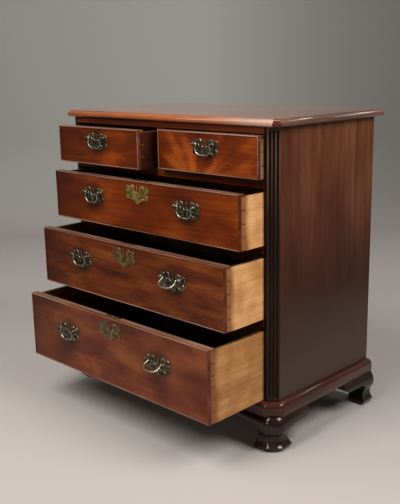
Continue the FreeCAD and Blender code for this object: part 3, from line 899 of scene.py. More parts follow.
# Bare pine: dull brown boards with wide streaks, out of sight in and behind the case
PINE_ALONG_X = BareWood(
    "aged_pine_boards", "#3e2a16", "#5e4226", "#7a5834", stain="#4a3018", band_mm=(400.0, 12.0)
)
PINE_ALONG_Y = replace(PINE_ALONG_X, name="aged_pine_runners", grain=Grain.ALONG_Y)
PINE_ALONG_Z = BareWood(
    "aged_pine_back", "#553a20", "#76542e", "#8c683c", stain="#5c3e20", grain=Grain.ALONG_Z,
    band_mm=(400.0, 14.0),
)
OAK_OF_DRAWER = {
    "short_left": OAK_OUTSIDE,
    "short_right": OAK_WORN,
    "upper": OAK_OUTSIDE,
    "middle": OAK_OUTSIDE,
    "lower": OAK_SHADED_LOWER,
}
# Brass castings: grey-brown patina, bright where hands and cloths rub, plate edges rubbed and with a painted
# highlight, yellow only on the upper escutcheon and darker on the lower ones
EDGE_BRASS = AgedMetal(
    "rubbed_brass_plate_edges", "#7c7864", "#c8c2aa", patina_share=0.5, roughness=(0.25, 0.4)
)
PLATE_BRASS = AgedMetal("patinated_cast_brass_plates", "#2a2820", "#867e66", patina_share=0.56)
POST_BRASS = AgedMetal(
    "patinated_turned_brass_posts", "#2a2822", "#6e6854", patina_share=0.54, roughness=(0.34, 0.55)
)
BAIL_BRASS = AgedMetal(
    "rubbed_cast_brass_bails", "#46423a", "#a29a8a", patina_share=0.42, roughness=(0.2, 0.36)
)
# Escutcheons: yellow on the upper drawer, duller on the middle one, darker on the lower one
KEY_BRASSES = {
    "upper": AgedMetal("rubbed_cast_brass_escutcheon", "#6e5a26", "#d4b870", patina_share=0.5),
    "middle": AgedMetal("dull_cast_brass_escutcheon", "#54482a", "#a08c5c", patina_share=0.52),
    "lower": AgedMetal("dirty_cast_brass_escutcheon", "#4c3e2a", "#90805e", patina_share=0.54),
}
# Locks: dull yellow plates with grey iron bolts
LOCK_BRASS = AgedMetal("dull_brass_locks", "#6a5a34", "#a8945c", patina_share=0.52)
BOLT_IRON = AgedMetal("wrought_iron_bolts", "#3a3734", "#6a6662", patina_share=0.55, roughness=(0.4, 0.6))
BRASS_OF_PATTERN = {
    "plate": PLATE_BRASS,
    "post": POST_BRASS,
    "nut": POST_BRASS,
    "bail": BAIL_BRASS,
    "escutcheon": KEY_BRASSES["upper"],
}
# Drawer fronts: red-brown figured boards, all but the short right one darkened to the left by painted shade,
# with old dirt round the brasses
FRONT_WOODS = {
    "short_left": Mahogany(
        "flamed_mahogany_short_left", "#3a1205", "#622506", "#8c3c0e", centre=(-0.20, 0.0, 0.70),
        band_mm=(170.0, 26.0), patch_mm=(150.0, 70.0), shades=(Shade("X", -0.46, -0.05, "#2a0f06"),),
    ),
    "short_right": Mahogany(
        "flamed_mahogany_short_right", "#441706", "#6c290b", "#ac561a", figure=Figure.FLAME,
        centre=(0.18, -0.22, 0.676), band_share=0.55, grime_mm=(12.0, 44.0),
    ),
    "upper": Mahogany(
        "ribbon_mahogany_upper", "#451806", "#672708", "#843c0d", centre=(0.31, 0.0, 0.6), band_share=0.28,
        patch_mm=(150.0, 80.0), shades=(Shade("X", -0.42, -0.16, "#2c1208"),),
    ),
    "middle": Mahogany(
        "ribbon_mahogany_middle", "#40170b", "#5e2910", "#7c4018", figure=Figure.RIBBON,
        centre=(0.77, 0.0, 0.43), band_share=0.35, band_mm=(180.0, 17.0), patch_mm=(150.0, 50.0),
        shades=(Shade("X", -0.46, -0.1, "#2c1208"),),
    ),
    "lower": Mahogany(
        "mottled_mahogany_lower", "#4c2012", "#66301b", "#7e4426", centre=(0.13, 0.0, 0.23), band_share=0.2,
        patch_mm=(130.0, 70.0), shades=(Shade("X", -0.5, -0.1, "#2c1208"),),
    ),
}


def arc_through(start: Point, middle: Point, end: Point, steps: int) -> list[Point]:
    """Points along the circular arc through three points.

    Args:
        start: First point.
        middle: Point on the way.
        end: Last point.
        steps: Number of steps.

    Returns:
        Points from start to end.
    """
    (ax, ay), (bx, by), (cx, cy) = start, middle, end
    double = 2 * (ax * (by - cy) + bx * (cy - ay) + cx * (ay - by))
    squares = [x * x + y * y for x, y in (start, middle, end)]
    x = (squares[0] * (by - cy) + squares[1] * (cy - ay) + squares[2] * (ay - by)) / double
    y = (squares[0] * (cx - bx) + squares[1] * (ax - cx) + squares[2] * (bx - ax)) / double
    first = math.atan2(ay - y, ax - x)
    span = math.remainder(math.atan2(cy - y, cx - x) - first, math.tau)
    radius = math.hypot(ax - x, ay - y)
    angles = [first + span * k / steps for k in range(steps + 1)]
    return [(x + radius * math.cos(a), y + radius * math.sin(a)) for a in angles]


def swept(
    name: str, profile_mm: list[Point], path_mm: list[Point], turn_mm: float = 0.0, steps: int = 8
) -> Piece:
    """Models a moulded length by drawing its section out along a path, round the turns.

    Args:
        name: Name of the piece.
        profile_mm: Distance outwards and height of each point of the section.
        path_mm: Points of the path in plan, with the outside on its right.
        turn_mm: Radius of the path's turns.
        steps: Number of steps round a turn.

    Returns:
        The closed piece.
    """
    points = [Vector((x, y, 0)) for x, y in path_mm]
    headings = [(b - a).normalized() for a, b in zip(points, points[1:])]
    sides = [Vector((h.y, -h.x, 0)) for h in headings]
    rings = []
    for k, point in enumerate(points):
        before, after = sides[max(k - 1, 0)], sides[min(k, len(sides) - 1)]
        half = before.angle(after) / 2
        mitre = (before + after).normalized() / math.cos(half)
        count = steps if half > 0.01 else 0
        for step in range(count + 1):
            facing = before.slerp(after, step / count) if count else before
            ring = []
            for out, z in profile_mm:
                rounded = point - mitre * turn_mm + facing * (turn_mm + out)
                ring.append(((rounded if out >= 0 else point + mitre * out) + Vector((0, 0, z))) * MM)
            rings.append(ring)
    bpy.ops.mesh.primitive_circle_add(vertices=len(profile_mm), fill_type="NGON")
    obj = bpy.context.active_object
    obj.name = name
    select_only(obj)
    bpy.ops.object.mode_set(mode="EDIT")
    bpy.ops.mesh.select_mode(type="FACE")
    bpy.ops.mesh.select_all(action="SELECT")
    mesh = bmesh.from_edit_mesh(obj.data)
    for vertex, place in zip(mesh.verts, rings[0]):
        vertex.co = place
    for before, after in zip(rings, rings[1:]):
        bpy.ops.mesh.extrude_region_move(TRANSFORM_OT_translate={"value": (0, 0, 0)})
        mesh = bmesh.from_edit_mesh(obj.data)
        for vertex in (v for v in mesh.verts if v.select):
            nearest = min(range(len(before)), key=lambda i: (vertex.co - before[i]).length)
            vertex.co = after[nearest]
        bmesh.update_edit_mesh(obj.data)
    bpy.ops.mesh.select_all(action="SELECT")
    bpy.ops.mesh.remove_doubles(threshold=0.001 * MM)
    bpy.ops.mesh.normals_make_consistent(inside=False)
    bpy.ops.object.mode_set(mode="OBJECT")
    return obj


@dataclass(frozen=True)
class OgeeFoot:
    """Front bracket foot: an ogee section carried round a canted corner, with an arch cut under each wing.

    Sizes are in millimetres.
    """

    corner: Point = (393.5, -212.5)
    cant: float = 12.0
    turn: float = 7.0
    wing: float = 121.0
    height: float = 93.0
    inset: float = 18.0
    block: float = 16.0
    block_rise: float = 6.0
    cut_out: float = 60.0
    cut_in: float = 30.0
    edge_mm: float = 0.5

    def section(self) -> list[Point]:
        """Draws the bulge above, the waist and flared toe below, and the flat back.

        Returns:
            Distance outwards and height of each point.
        """
        bulge = arc_through((15.0, self.height), (26.5, 67.0), (20.0, 47.0), 16)
        waist = arc_through((20.0, 47.0), (15.0, 31.5), (25.0, 13.0), 12)
        return bulge + waist[1:] + [(17.0, 0.0), (-self.inset, 0.0), (-self.inset, self.height)]

    def arch(self) -> list[Point]:
        """Draws the space under a wing, from the pad at the corner to beyond the wing's tip.

        Returns:
            Distance inwards, as a negative number, and height of each point.
        """
        quarter = [math.pi / 2 * k / 8 for k in range(9)]
        spring = [(34.0 + 36.0 * (1 - math.cos(a)), 40.0 + 27.0 * math.sin(a)) for a in quarter]
        shoulder = [(97.0 + 24.0 * math.sin(a), 67.0 + 22.0 * (1 - math.cos(a))) for a in quarter]
        outline = [(46.0, -5.0), (46.0, 12.0)] + spring + shoulder + [(140.0, 89.0), (140.0, -5.0)]
        return [(-along, z) for along, z in outline]

    def build(self, name: str, mirrored: bool) -> Piece:
        """Models the right foot, or its mirror image.

        Args:
            name: Name of the piece.
            mirrored: Whether it is the left foot.

        Returns:
            The foot with its glue block.
        """
        x, y = self.corner
        path = [(x - self.wing, y), (x - self.cant, y), (x, y + self.cant), (x, y + self.wing)]
        foot = swept(name, self.section(), path, self.turn)
        through_front = [(x, y - self.cut_out), (x, y + self.cut_in)]
        through_side = [(x - self.cut_in, y), (x + self.cut_out, y)]
        for run in (through_front, through_side):
            cutter = swept("arch_cutter", self.arch(), run)
            apply_modifier(foot, "BOOLEAN", operation="DIFFERENCE", object=cutter, solver="EXACT")
            bpy.data.objects.remove(cutter)
        apply_modifier(foot, "BEVEL", width=self.edge_mm * MM, segments=2, angle_limit=math.radians(40))
        bpy.ops.mesh.primitive_cube_add(size=1)
        block = bpy.context.active_object
        low = Vector((x - self.inset - self.block, y + self.inset, self.block_rise))
        size = Vector((self.block, self.block, self.height - self.block_rise))
        block.data.transform(Matrix.Translation((low + size / 2) * MM) @ Matrix.Diagonal((*(size * MM), 1)))
        apply_modifier(block, "BEVEL", width=self.edge_mm * MM, segments=2)
        select_only(foot)
        block.select_set(True)
        bpy.ops.object.join()
        if mirrored:
            foot.data.transform(Matrix.Diagonal((-1, 1, 1, 1)))
            bpy.ops.object.mode_set(mode="EDIT")
            bpy.ops.mesh.select_all(action="SELECT")
            bpy.ops.mesh.flip_normals()
            bpy.ops.object.mode_set(mode="OBJECT")
        bpy.ops.object.shade_smooth_by_angle(angle=math.radians(24))
        return foot


@dataclass
class Carcass:
    """Case of the chest: top, sides, fluted canted corners, rails, inner boards, base and feet."""

    workshop: Workshop
    body: str = "carcass"
    edge_mm: float = 0.8
    moulding_edge_mm: float = 0.3
    back_edge_mm: float = 1.2
    top_corner_mm: float = 2.0
    flute_mm: tuple[float, float] = (1.2, 8.0)
    moulding_turn_mm: float = 2.0
    moulding_out_mm: float = 18.0
    moulding_cant_mm: float = 23.0
    moulding_flat_mm: float = 22.0
    moulding_hollow_mm: Point = (13.3, 31.9)
    moulding_lip_mm: float = 2.0

    def board(self, node: str, finish: Finish, edge_mm: float, corner_mm: float = 0.0) -> Piece:
        """Dresses one node of the case in one finish.

        Args:
            node: CAD node.
            finish: Wood and polish.
            edge_mm: Width of the eased edges.
            corner_mm: Width of the rounding where a canted corner turns.

        Returns:
            The dressed piece.
        """
        obj = refined_copy(node, edge_mm, corner_mm)
        self.workshop.dress(obj, finish)
        return enlist(obj, self.body, node)

    def build_case(self) -> None:
        """Dresses top, sides, corners and rails."""
        top = self.board("top", TOP_WOOD, self.moulding_edge_mm, self.top_corner_mm)
        self.workshop.dress(top, TOP_WOOD, TOP_EDGE_WOOD, TOP_SIDE_EDGE_WOOD, TOP_CANT_WOOD)
        # Front edge with its painted highlight; side edges and cants in painted shade
        paint_faces(top, 1, lambda centre, normal: normal.y < -0.3)
        paint_faces(top, 3, lambda centre, normal: normal.y < -0.3 and abs(normal.x) > 0.35)
        paint_faces(top, 2, lambda centre, normal: abs(normal.x) > 0.3 and normal.y > -0.3)
        for side in ("left", "right"):
            self.board("side_" + side, SIDE_WOOD, self.edge_mm)
            self.fluted_corner("corner_" + side)
        for node in ("top_frame", "drawer_rails", "short_drawer_divider"):
            self.board(node, RAIL_WOOD, self.edge_mm)

    def fluted_corner(self, node: str) -> None:
        """Dresses a canted corner, with painted shade in its flutes.

        Args:
            node: CAD node.
        """
        obj = refined_copy(node, self.moulding_edge_mm)
        self.workshop.dress(obj, CORNER_WOOD, FLUTE_WOOD)
        rim, bottom = (depth * MM for depth in self.flute_mm)
        outward = max(abs(v.co.x) - v.co.y for v in obj.data.vertices)
        paint_faces(
            obj,
            1,
            lambda centre, normal: abs(normal.z) < 0.5
            and outward - bottom < abs(centre.x) - centre.y < outward - rim
            and math.copysign(1.0, centre.x) * normal.x - normal.y > 0.4,
        )
        enlist(obj, self.body, node)

    def build_inner_boards(self) -> None:
        """Dresses the unpolished boards inside and behind."""
        for node in ("dust_boards", "bottom_board", "drawer_stops"):
            self.board(node, PINE_ALONG_X, self.edge_mm)
        self.board("drawer_runners", PINE_ALONG_Y, self.edge_mm)
        self.board("back_boards", PINE_ALONG_Z, self.back_edge_mm)

    def build_base(self) -> None:
        """Models the base moulding and front feet with rounded turns, and dresses the rear feet."""
        low, high = (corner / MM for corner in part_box("base_moulding"))
        out, cant = self.moulding_out_mm, self.moulding_cant_mm
        x, y, bottom, top = high.x - out, low.y + out, low.z, high.z
        hollow = (self.moulding_hollow_mm[0], bottom + self.moulding_hollow_mm[1])
        section = [(0.0, top), (0.0, bottom), (out, bottom)]
        section += arc_through((out, bottom + self.moulding_flat_mm), hollow, (self.moulding_lip_mm, top), 12)
        path = [(-x, high.y), (-x, y + cant), (cant - x, y), (x - cant, y), (x, y + cant), (x, high.y)]
        moulding = swept("base_moulding_dressed", section, path, self.moulding_turn_mm)
        apply_modifier(
            moulding, "BEVEL", width=self.moulding_edge_mm * MM, segments=2, angle_limit=math.radians(40)
        )
        select_only(moulding)
        bpy.ops.object.shade_smooth_by_angle(angle=math.radians(24))
        pieces = {"base_moulding": (moulding, (MOULDING_WOOD_X, MOULDING_WOOD_Y))}
        for side in ("left", "right"):
            node = "foot_front_" + side
            foot = OgeeFoot().build(node + "_dressed", side == "left")
            pieces[node] = (foot, (FOOT_WOOD_X, FOOT_WOOD_Y))
            node = "foot_rear_" + side
            pieces[node] = (refined_copy(node, self.moulding_edge_mm), (FOOT_WOOD_X, FOOT_WOOD_Y))
        for node, (obj, woods) in pieces.items():
            self.workshop.dress(obj, *woods)
            paint_faces(obj, 1, lambda centre, normal: abs(normal.x) > abs(normal.y))
            enlist(obj, self.body, node)

    def build(self) -> None:
        """Builds the whole case."""
        self.build_case()
        self.build_inner_boards()
        self.build_base()


def turned(name: str, profile_mm: list[Point], sides: int = 24) -> Piece:
    """Models a turned piece by drawing out the end of a cylinder step by step.

    Args:
        name: Name of the piece.
        profile_mm: Distance along the axis and radius at each step, from the foot outwards.
        sides: Number of sides.

    Returns:
        The piece, with its foot at the origin and its axis towards -Y.
    """
    (start, radius), (end, end_radius) = profile_mm[0], profile_mm[1]
    bpy.ops.mesh.primitive_cylinder_add(vertices=sides, radius=radius * MM, depth=(end - start) * MM)
    obj = bpy.context.active_object
    obj.name = name
    select_only(obj)
    obj.data.transform(Matrix.Translation((0, 0, (start + end) / 2 * MM)))
    bpy.ops.object.mode_set(mode="EDIT")
    bpy.ops.mesh.select_mode(type="FACE")
    mesh = bmesh.from_edit_mesh(obj.data)
    for face in mesh.faces:
        face.select_set(face.normal.z > 0.9)
    bmesh.update_edit_mesh(obj.data)
    scale = end_radius / radius
    bpy.ops.transform.resize(value=(scale, scale, 1), center_override=(0, 0, end * MM))
    for (before, before_radius), (along, next_radius) in zip(profile_mm[1:], profile_mm[2:]):
        bpy.ops.mesh.extrude_region_move(TRANSFORM_OT_translate={"value": (0, 0, (along - before) * MM)})
        scale = next_radius / before_radius
        bpy.ops.transform.resize(value=(scale, scale, 1), center_override=(0, 0, along * MM))
    bpy.ops.object.mode_set(mode="OBJECT")
    obj.data.transform(Matrix.Rotation(math.pi / 2, 4, "X"))
    bpy.ops.object.shade_smooth_by_angle(angle=math.radians(38))
    return obj


def arc_points(x: float, z: float, radius: float, start: float, end: float, steps: int) -> list[Point]:
    """Points along an arc of a plate's outline.

    Args:
        x: Centre across.
        z: Centre upwards.
        radius: Radius.
        start: First angle in degrees from the right.
        end: Last angle in degrees.
        steps: Number of steps.

    Returns:
        Points in millimetres.
    """
    angles = [math.radians(start + (end - start) * k / steps) for k in range(steps + 1)]
    return [(x + radius * math.cos(a), z + radius * math.sin(a)) for a in angles]


@dataclass(frozen=True)
class BatWingPlate:
    """Pierced plate: two double ears with a spike between them, side lobes and a round or pointed end."""

    thickness_mm: float = 1.8
    edge_mm: float = 0.7
    spike_mm: float = 25.0

    def outline(self, tapered: bool) -> list[Point]:
        """Outline round the whole plate, from the top of the spike to the right.

        Args:
            tapered: Whether the lower half narrows to a point, as on an escutcheon.

        Returns:
            Points in millimetres.
        """
        half = [(1.3, self.spike_mm - 2.0), (2.4, 15.0), (3.2, 8.0), (5.6, 6.0), (8.8, 8.2)]
        half += arc_points(19.0, 17.6, 8.6, 216, 38, 12)
        half += arc_points(35.4, 13.8, 9.9, 122, -66, 12)
        half += [(37.4, 2.6)]
        half += arc_points(37.4, -5.6, 6.9, 72, -112, 10)
        if tapered:
            half += [(30.6, -11.4), (24.5, -12.8), (17.0, -16.6), (10.5, -19.0), (5.0, -22.4)]
            tip = (0.0, -26.0)
        else:
            half += [(31.4, -12.2)]
            half += arc_points(21.4, -13.2, 5.4, -14, -98, 5)
            half += [(13.0, -17.6), (9.0, -18.6)]
            half += arc_points(0.0, -15.0, 7.4, -20, -76, 6)
            tip = (0.0, -22.4)
        return [(0.0, self.spike_mm)] + half + [tip] + [(-x, z) for x, z in reversed(half)]

    def piercings(self) -> list[list[Point]]:
        """Draws the leaf-shaped holes in the ears and side lobes.

        Returns:
            Points of each hole in millimetres.
        """
        holes = []
        for side in (1, -1):
            for x, z, length, width, lean in ((21.5, 14.0, 10.5, 4.6, 52.0), (24.5, -6.6, 12.0, 4.8, -24.0)):
                turn = math.radians(lean)
                leaf = []
                for k in range(14):
                    angle = 2 * math.pi * k / 14
                    along = math.cos(angle) * length / 2
                    across = math.sin(angle) * abs(math.sin(angle)) ** 0.4 * width / 2
                    px = x + along * math.cos(turn) - across * math.sin(turn)
                    leaf.append((side * px, z + along * math.sin(turn) + across * math.cos(turn)))
                holes.append(leaf)
        return holes

    def keyhole(self) -> list[Point]:
        """Keyhole with a round bow over a slot."""
        return [(-1.3, -8.0), (1.3, -8.0)] + arc_points(0.0, 0.0, 2.7, -58, 238, 10)

    def build(self, name: str, with_keyhole: bool) -> Piece:
        """Models the plate as a filled outline with a bevelled edge.

        Args:
            name: Name of the piece.
            with_keyhole: Whether it is an escutcheon.

        Returns:
            The plate, with its back on the plane Y = 0 and its middle at the origin.
        """
        curve = bpy.data.curves.new(name, "CURVE")
        curve.dimensions = "2D"
        curve.fill_mode = "BOTH"
        curve.extrude = (self.thickness_mm / 2 - self.edge_mm) * MM
        curve.bevel_depth = self.edge_mm * MM
        curve.bevel_resolution = 2
        curve.offset = -self.edge_mm * MM
        holes = self.piercings() + ([self.keyhole()] if with_keyhole else [])
        for ring in [self.outline(with_keyhole)] + holes:
            spline = curve.splines.new("POLY")
            spline.points.add(len(ring) - 1)
            spline.use_cyclic_u = True
            for point, (x, z) in zip(spline.points, ring):
                point.co = (x * MM, z * MM, 0, 1)
        upright = Matrix.Rotation(math.pi / 2, 4, "X")
        return solid_of_curve(curve, 40, Matrix.Translation((0, -self.thickness_mm / 2 * MM, 0)) @ upright)


@dataclass(frozen=True)
class SwanNeckBail:
    """Drop handle: a rod with swan necks at its posts, thicker at the grip.

    Each point of the path and the bow is a place across, a height and a share of the rod's radius.
    """

    half_spacing_mm: float = 32.5
    overrun_mm: float = 7.5
    rod_mm: float = 2.3
    path_mm: tuple[tuple[float, float, float], ...] = (
        (28.0, 0.0, 1.0),
        (24.6, -0.6, 1.0),
        (23.6, -4.2, 0.95),
        (26.0, -10.5, 0.9),
        (25.6, -16.0, 0.95),
        (21.8, -22.4, 1.0),
        (14.5, -26.8, 1.06),
    )
    bow_mm: tuple[float, float, float] = (0.0, -28.2, 1.16)
    post_run_mm: float = 2.0

    def build(self, name: str) -> Piece:
        """Models the bail as a smooth rod hanging from the origin.

        Args:
            name: Name of the piece.

        Returns:
            The bail, with its pivot on the X axis.
        """
        end = self.half_spacing_mm + self.overrun_mm
        half = [(end, 0.0, 1.0), (self.half_spacing_mm, 0.0, 1.0)] + list(self.path_mm)
        points = half + [self.bow_mm] + [(-x, z, thick) for x, z, thick in reversed(half)]
        curve = bpy.data.curves.new(name, "CURVE")
        curve.dimensions = "3D"
        curve.bevel_depth = self.rod_mm * MM
        curve.bevel_resolution = 4
        curve.use_fill_caps = True
        curve.resolution_u = 5
        spline = curve.splines.new("BEZIER")
        spline.bezier_points.add(len(points) - 1)
        for knot, (x, z, thick) in zip(spline.bezier_points, points):
            knot.co = (x * MM, 0, z * MM)
            knot.radius = thick
            knot.handle_left_type = knot.handle_right_type = "AUTO"
        for knot in (spline.bezier_points[1], spline.bezier_points[-2]):
            knot.handle_left_type = knot.handle_right_type = "ALIGNED"
            knot.handle_left = knot.co + Vector((self.post_run_mm * MM, 0, 0))
            knot.handle_right = knot.co * 2 - knot.handle_left
        return solid_of_curve(curve, 50, Matrix.Identity(4))


@dataclass
class Brasses:
    """Patterns of the brass fittings, each modelled once and copied to its places.

    Sizes are in metres where their names don't say millimetres.
    """

    workshop: Workshop
    post_rise: float = 0.014
    post_half_spacing: float = 0.0325
    bail_stand_mm: float = 10.0
    bore_mm: float = 2.5
    nut_mm: tuple[float, float] = (11.0, 4.0)
    nut_stand_mm: float = 22.0
    patterns: dict[str, Piece] = field(default_factory=dict)

    def build_patterns(self) -> None:
        """Models plate, escutcheon, post, nut and bail at the origin."""
        plate = BatWingPlate()
        self.patterns["plate"] = plate.build("handle_plate_pattern", False)
        self.patterns["escutcheon"] = plate.build("escutcheon_pattern", True)
        self.patterns["bail"] = SwanNeckBail().build("bail_pattern")
        self.patterns["post"] = self.bored_post()
        self.patterns["nut"] = self.square_nut()
        for kind, pattern in self.patterns.items():
            self.workshop.dress(pattern, BRASS_OF_PATTERN[kind])
        self.workshop.dress(self.patterns["plate"], PLATE_BRASS, EDGE_BRASS)
        # Bevelled edges of the plate: rubbed brass, paler also as a painted highlight
        paint_faces(self.patterns["plate"], 1, lambda centre, normal: -0.95 < normal.y < -0.1)

    def bored_post(self) -> Piece:
        """Models a turned post with a cross bore for the bail.

        Returns:
            The post, with its foot on the plane of the drawer's face.
        """
        profile = [
            (1.8, 5.4), (2.6, 5.4), (3.2, 4.4), (4.4, 3.3), (5.8, 3.1), (7.0, 3.8), (8.2, 5.0),
            (9.4, 5.7), (10.8, 5.7), (12.2, 5.0), (13.2, 3.6), (13.9, 2.6), (14.6, 1.9), (15.0, 0.7),
        ]
        post = turned("handle_post_pattern", profile)
        bpy.ops.mesh.primitive_cylinder_add(vertices=20, radius=self.bore_mm * MM, depth=16 * MM)
        drill = bpy.context.active_object
        crosswise = Matrix.Rotation(math.pi / 2, 4, "Y")
        drill.data.transform(Matrix.Translation((0, -self.bail_stand_mm * MM, 0)) @ crosswise)
        apply_modifier(post, "BOOLEAN", operation="DIFFERENCE", object=drill, solver="EXACT")
        bpy.data.objects.remove(drill)
        select_only(post)
        bpy.ops.object.shade_smooth_by_angle(angle=math.radians(38))
        return post

    def square_nut(self) -> Piece:
        """Models the square nut behind a drawer front, with the shank's end in it.

        Returns:
            The nut, in its place behind the plane of the drawer's face.
        """
        bpy.ops.mesh.primitive_cube_add(size=1)
        nut = bpy.context.active_object
        nut.name = "post_nut_pattern"
        width, thickness = (size * MM for size in self.nut_mm)
        size = Matrix.Diagonal((width, thickness, width, 1))
        nut.data.transform(Matrix.Translation((0, self.nut_stand_mm * MM, 0)) @ size)
        apply_modifier(nut, "BEVEL", width=0.8 * MM, segments=2)
        select_only(nut)
        bpy.ops.object.mode_set(mode="EDIT")
        bpy.ops.mesh.select_mode(type="FACE")
        mesh = bmesh.from_edit_mesh(nut.data)
        for face in mesh.faces:
            face.select_set(face.normal.y > 0.9 and face.calc_area() > 20 * MM * MM)
        bmesh.update_edit_mesh(nut.data)
        bpy.ops.mesh.inset(thickness=2.8 * MM, depth=-0.6 * MM)
        bpy.ops.object.mode_set(mode="OBJECT")
        return nut

    def copies(self, name: str, kinds: list[tuple[str, Vector]], turn: Matrix | None = None) -> Piece:
        """Copies patterns to their places and joins them into one piece.

        Args:
            name: Name of the piece.
            kinds: Pattern names with their places.
            turn: Turn about the pattern's own origin.

        Returns:
            The piece, with its own mesh.
        """
        made = []
        for kind, place in kinds:
            copy = bpy.data.objects.new(name, self.patterns[kind].data.copy())
            bpy.context.scene.collection.objects.link(copy)
            copy.data.transform(Matrix.Translation(place) @ (turn or Matrix.Identity(4)))
            made.append(copy)
        select_only(made[0])
        for other in made[1:]:
            other.select_set(True)
        if len(made) > 1:
            bpy.ops.object.join()
        made[0].name = name
        return made[0]

    def drop_patterns(self) -> None:
        """Removes the patterns once all copies are placed."""
        for pattern in self.patterns.values():
            bpy.data.objects.remove(pattern)
        self.patterns.clear()


@dataclass
class Drawer:
    """One drawer: figured front, cockbeads, oak box, handles and, on a long one, its lock.

    Sizes are in metres where their names don't say millimetres.
    """

    name: str
    workshop: Workshop
    brasses: Brasses
    edge_mm: float = 0.6
    bead_edge_mm: float = 0.15
    lock_edge_mm: float = 0.4
    face_depth: float = 0.004
    bead_height: float = 0.003
    side_skin: float = 0.004
    back_thickness: float = 0.012
    divider_reach: float = 0.02
    escutcheon_rise: float = 0.027
    stain_mm: tuple[float, float] = (0.0, 22.0)
    worn_mm: tuple[float, float] = (24.0, 70.0)

    @property
    def body(self) -> str:
        """CAD body of the drawer."""
        return self.name + "_drawer"

    def pivots(self) -> dict[str, tuple[Vector, float]]:
        """Finds each bail's pivot and how far it leans out at rest.

        Returns:
            Pivot and lean in degrees, by the bail's body.
        """
        return {
            joint["child"]: (Vector(joint["pos_m"]), -joint["range_deg"][0])
            for joint in frame["joints"]
            if joint["type"] == "hinge" and joint["parent"] == self.body
        }

    def build_front(self) -> None:
        """Dresses the front: figured face, plain back, upper edge paler with wear and a painted highlight,
        and end grain.
        """
        front = refined_copy(self.name + "_front", self.edge_mm)
        face_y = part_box(self.name + "_front")[0].y
        behind = face_y + self.face_depth
        rise = self.brasses.post_rise
        spots = tuple((pivot.x, face_y, pivot.z - rise) for pivot, lean in self.pivots().values())
        figured = replace(FRONT_WOODS[self.name], grime_spots=spots)
        self.workshop.dress(front, figured, RAIL_WOOD, EDGE_WOOD, FRONT_END_WOOD)
        paint_faces(front, 1, lambda centre, normal: normal.y > -0.5 and centre.y > behind)
        # Upward faces behind the face: worn, and paler with a painted highlight
        paint_faces(front, 2, lambda centre, normal: normal.z > 0.5 and centre.y > behind)
        paint_faces(front, 3, lambda centre, normal: abs(normal.x) > 0.5 and centre.y > behind)
        enlist(front, self.body, self.name + "_front")

    def build_beads(self) -> None:
        """Dresses the cockbeads, with a painted highlight on the noses all round on a short drawer and above
        and below on a long one.
        """
        beads = refined_copy(self.name + "_cockbeads", self.bead_edge_mm)
        self.workshop.dress(beads, BEAD_WOOD, BEAD_NOSE_WOOD)
        low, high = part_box(self.name + "_cockbeads")
        all_round = len(self.pivots()) == 1
        # Bead noses with their painted highlight
        paint_faces(
            beads,
            1,
            lambda centre, normal: normal.y < -0.7
            and (all_round or min(centre.z - low.z, high.z - centre.z) < self.bead_height),
        )
        enlist(beads, self.body, self.name + "_cockbeads")

    def build_box(self) -> None:
        """Dresses the oak box: pale outside, stained beside the front, darker inside as aged wood with
        painted shade.
        """
        box = refined_copy(self.name + "_box", self.edge_mm)
        low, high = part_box(self.name + "_box")
        # The lower drawer's outside is darker with painted shade
        outside = OAK_OF_DRAWER[self.name]
        stain_start, stain_end = self.worn_mm if outside is OAK_WORN else self.stain_mm
        outside = replace(
            outside,
            name=outside.name + "_" + self.name,
            stained_y=(low.y + stain_start * MM, low.y + stain_end * MM),
        )
        self.workshop.dress(box, OAK_INSIDE, outside, OAK_IN_SHADE)
        paint_faces(
            box,
            1,
            lambda centre, normal: abs(normal.x) > 0.5
            and min(centre.x - low.x, high.x - centre.x) < self.side_skin
            or normal.y > 0.5
            and centre.y > high.y - self.back_thickness,
        )
        # Painted shade on the sides between the short drawers
        paint_faces(box, 2, lambda centre, normal: abs(normal.x) > 0.5 and abs(centre.x) < self.divider_reach)
        enlist(box, self.body, self.name + "_box")

    def build_handles(self) -> None:
        """Places plates, posts, nuts and bails at the bails' pivots."""
        face_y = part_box(self.name + "_front")[0].y
        plates, posts = [], []
        for bail_name, (pivot, lean) in self.pivots().items():
            plates.append(("plate", Vector((pivot.x, face_y, pivot.z - self.brasses.post_rise))))
            for side in (-1, 1):
                spot = Vector((pivot.x + side * self.brasses.post_half_spacing, face_y, pivot.z))
                posts += [("post", spot), ("nut", spot)]
            turn = Matrix.Rotation(-math.radians(lean), 4, "X")
            bail = self.brasses.copies(bail_name + "_dressed", [("bail", pivot)], turn)
            enlist(bail, bail_name, bail_name)
        for kind, made in (("_handle_plates", plates), ("_handle_posts", posts)):
            piece = self.brasses.copies(self.name + kind + "_dressed", made)
            enlist(piece, self.body, self.name + kind)

    def build_lock(self) -> None:
        """Places the escutcheon and dresses lock and bolt."""
        low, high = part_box(self.name + "_escutcheon")
        middle = Vector(((low.x + high.x) / 2, high.y, high.z - self.escutcheon_rise))
        piece = self.brasses.copies(self.name + "_escutcheon_dressed", [("escutcheon", middle)])
        self.workshop.dress(piece, KEY_BRASSES[self.name])
        enlist(piece, self.body, self.name + "_escutcheon")
        lock, bolt = self.name + "_lock", self.name + "_lock_bolt"
        works = ((lock, self.body, LOCK_BRASS, "brass"), (bolt, bolt, BOLT_IRON, "iron"))
        for node, body, finish, slot in works:
            piece = refined_copy(node, self.lock_edge_mm)
            self.workshop.dress(piece, finish)
            enlist(piece, body, node)

    def build(self) -> None:
        """Builds the whole drawer."""
        self.build_front()
        self.build_beads()
        self.build_box()
        self.build_handles()
        if self.name + "_lock" in frame["nodes"]:
            self.build_lock()


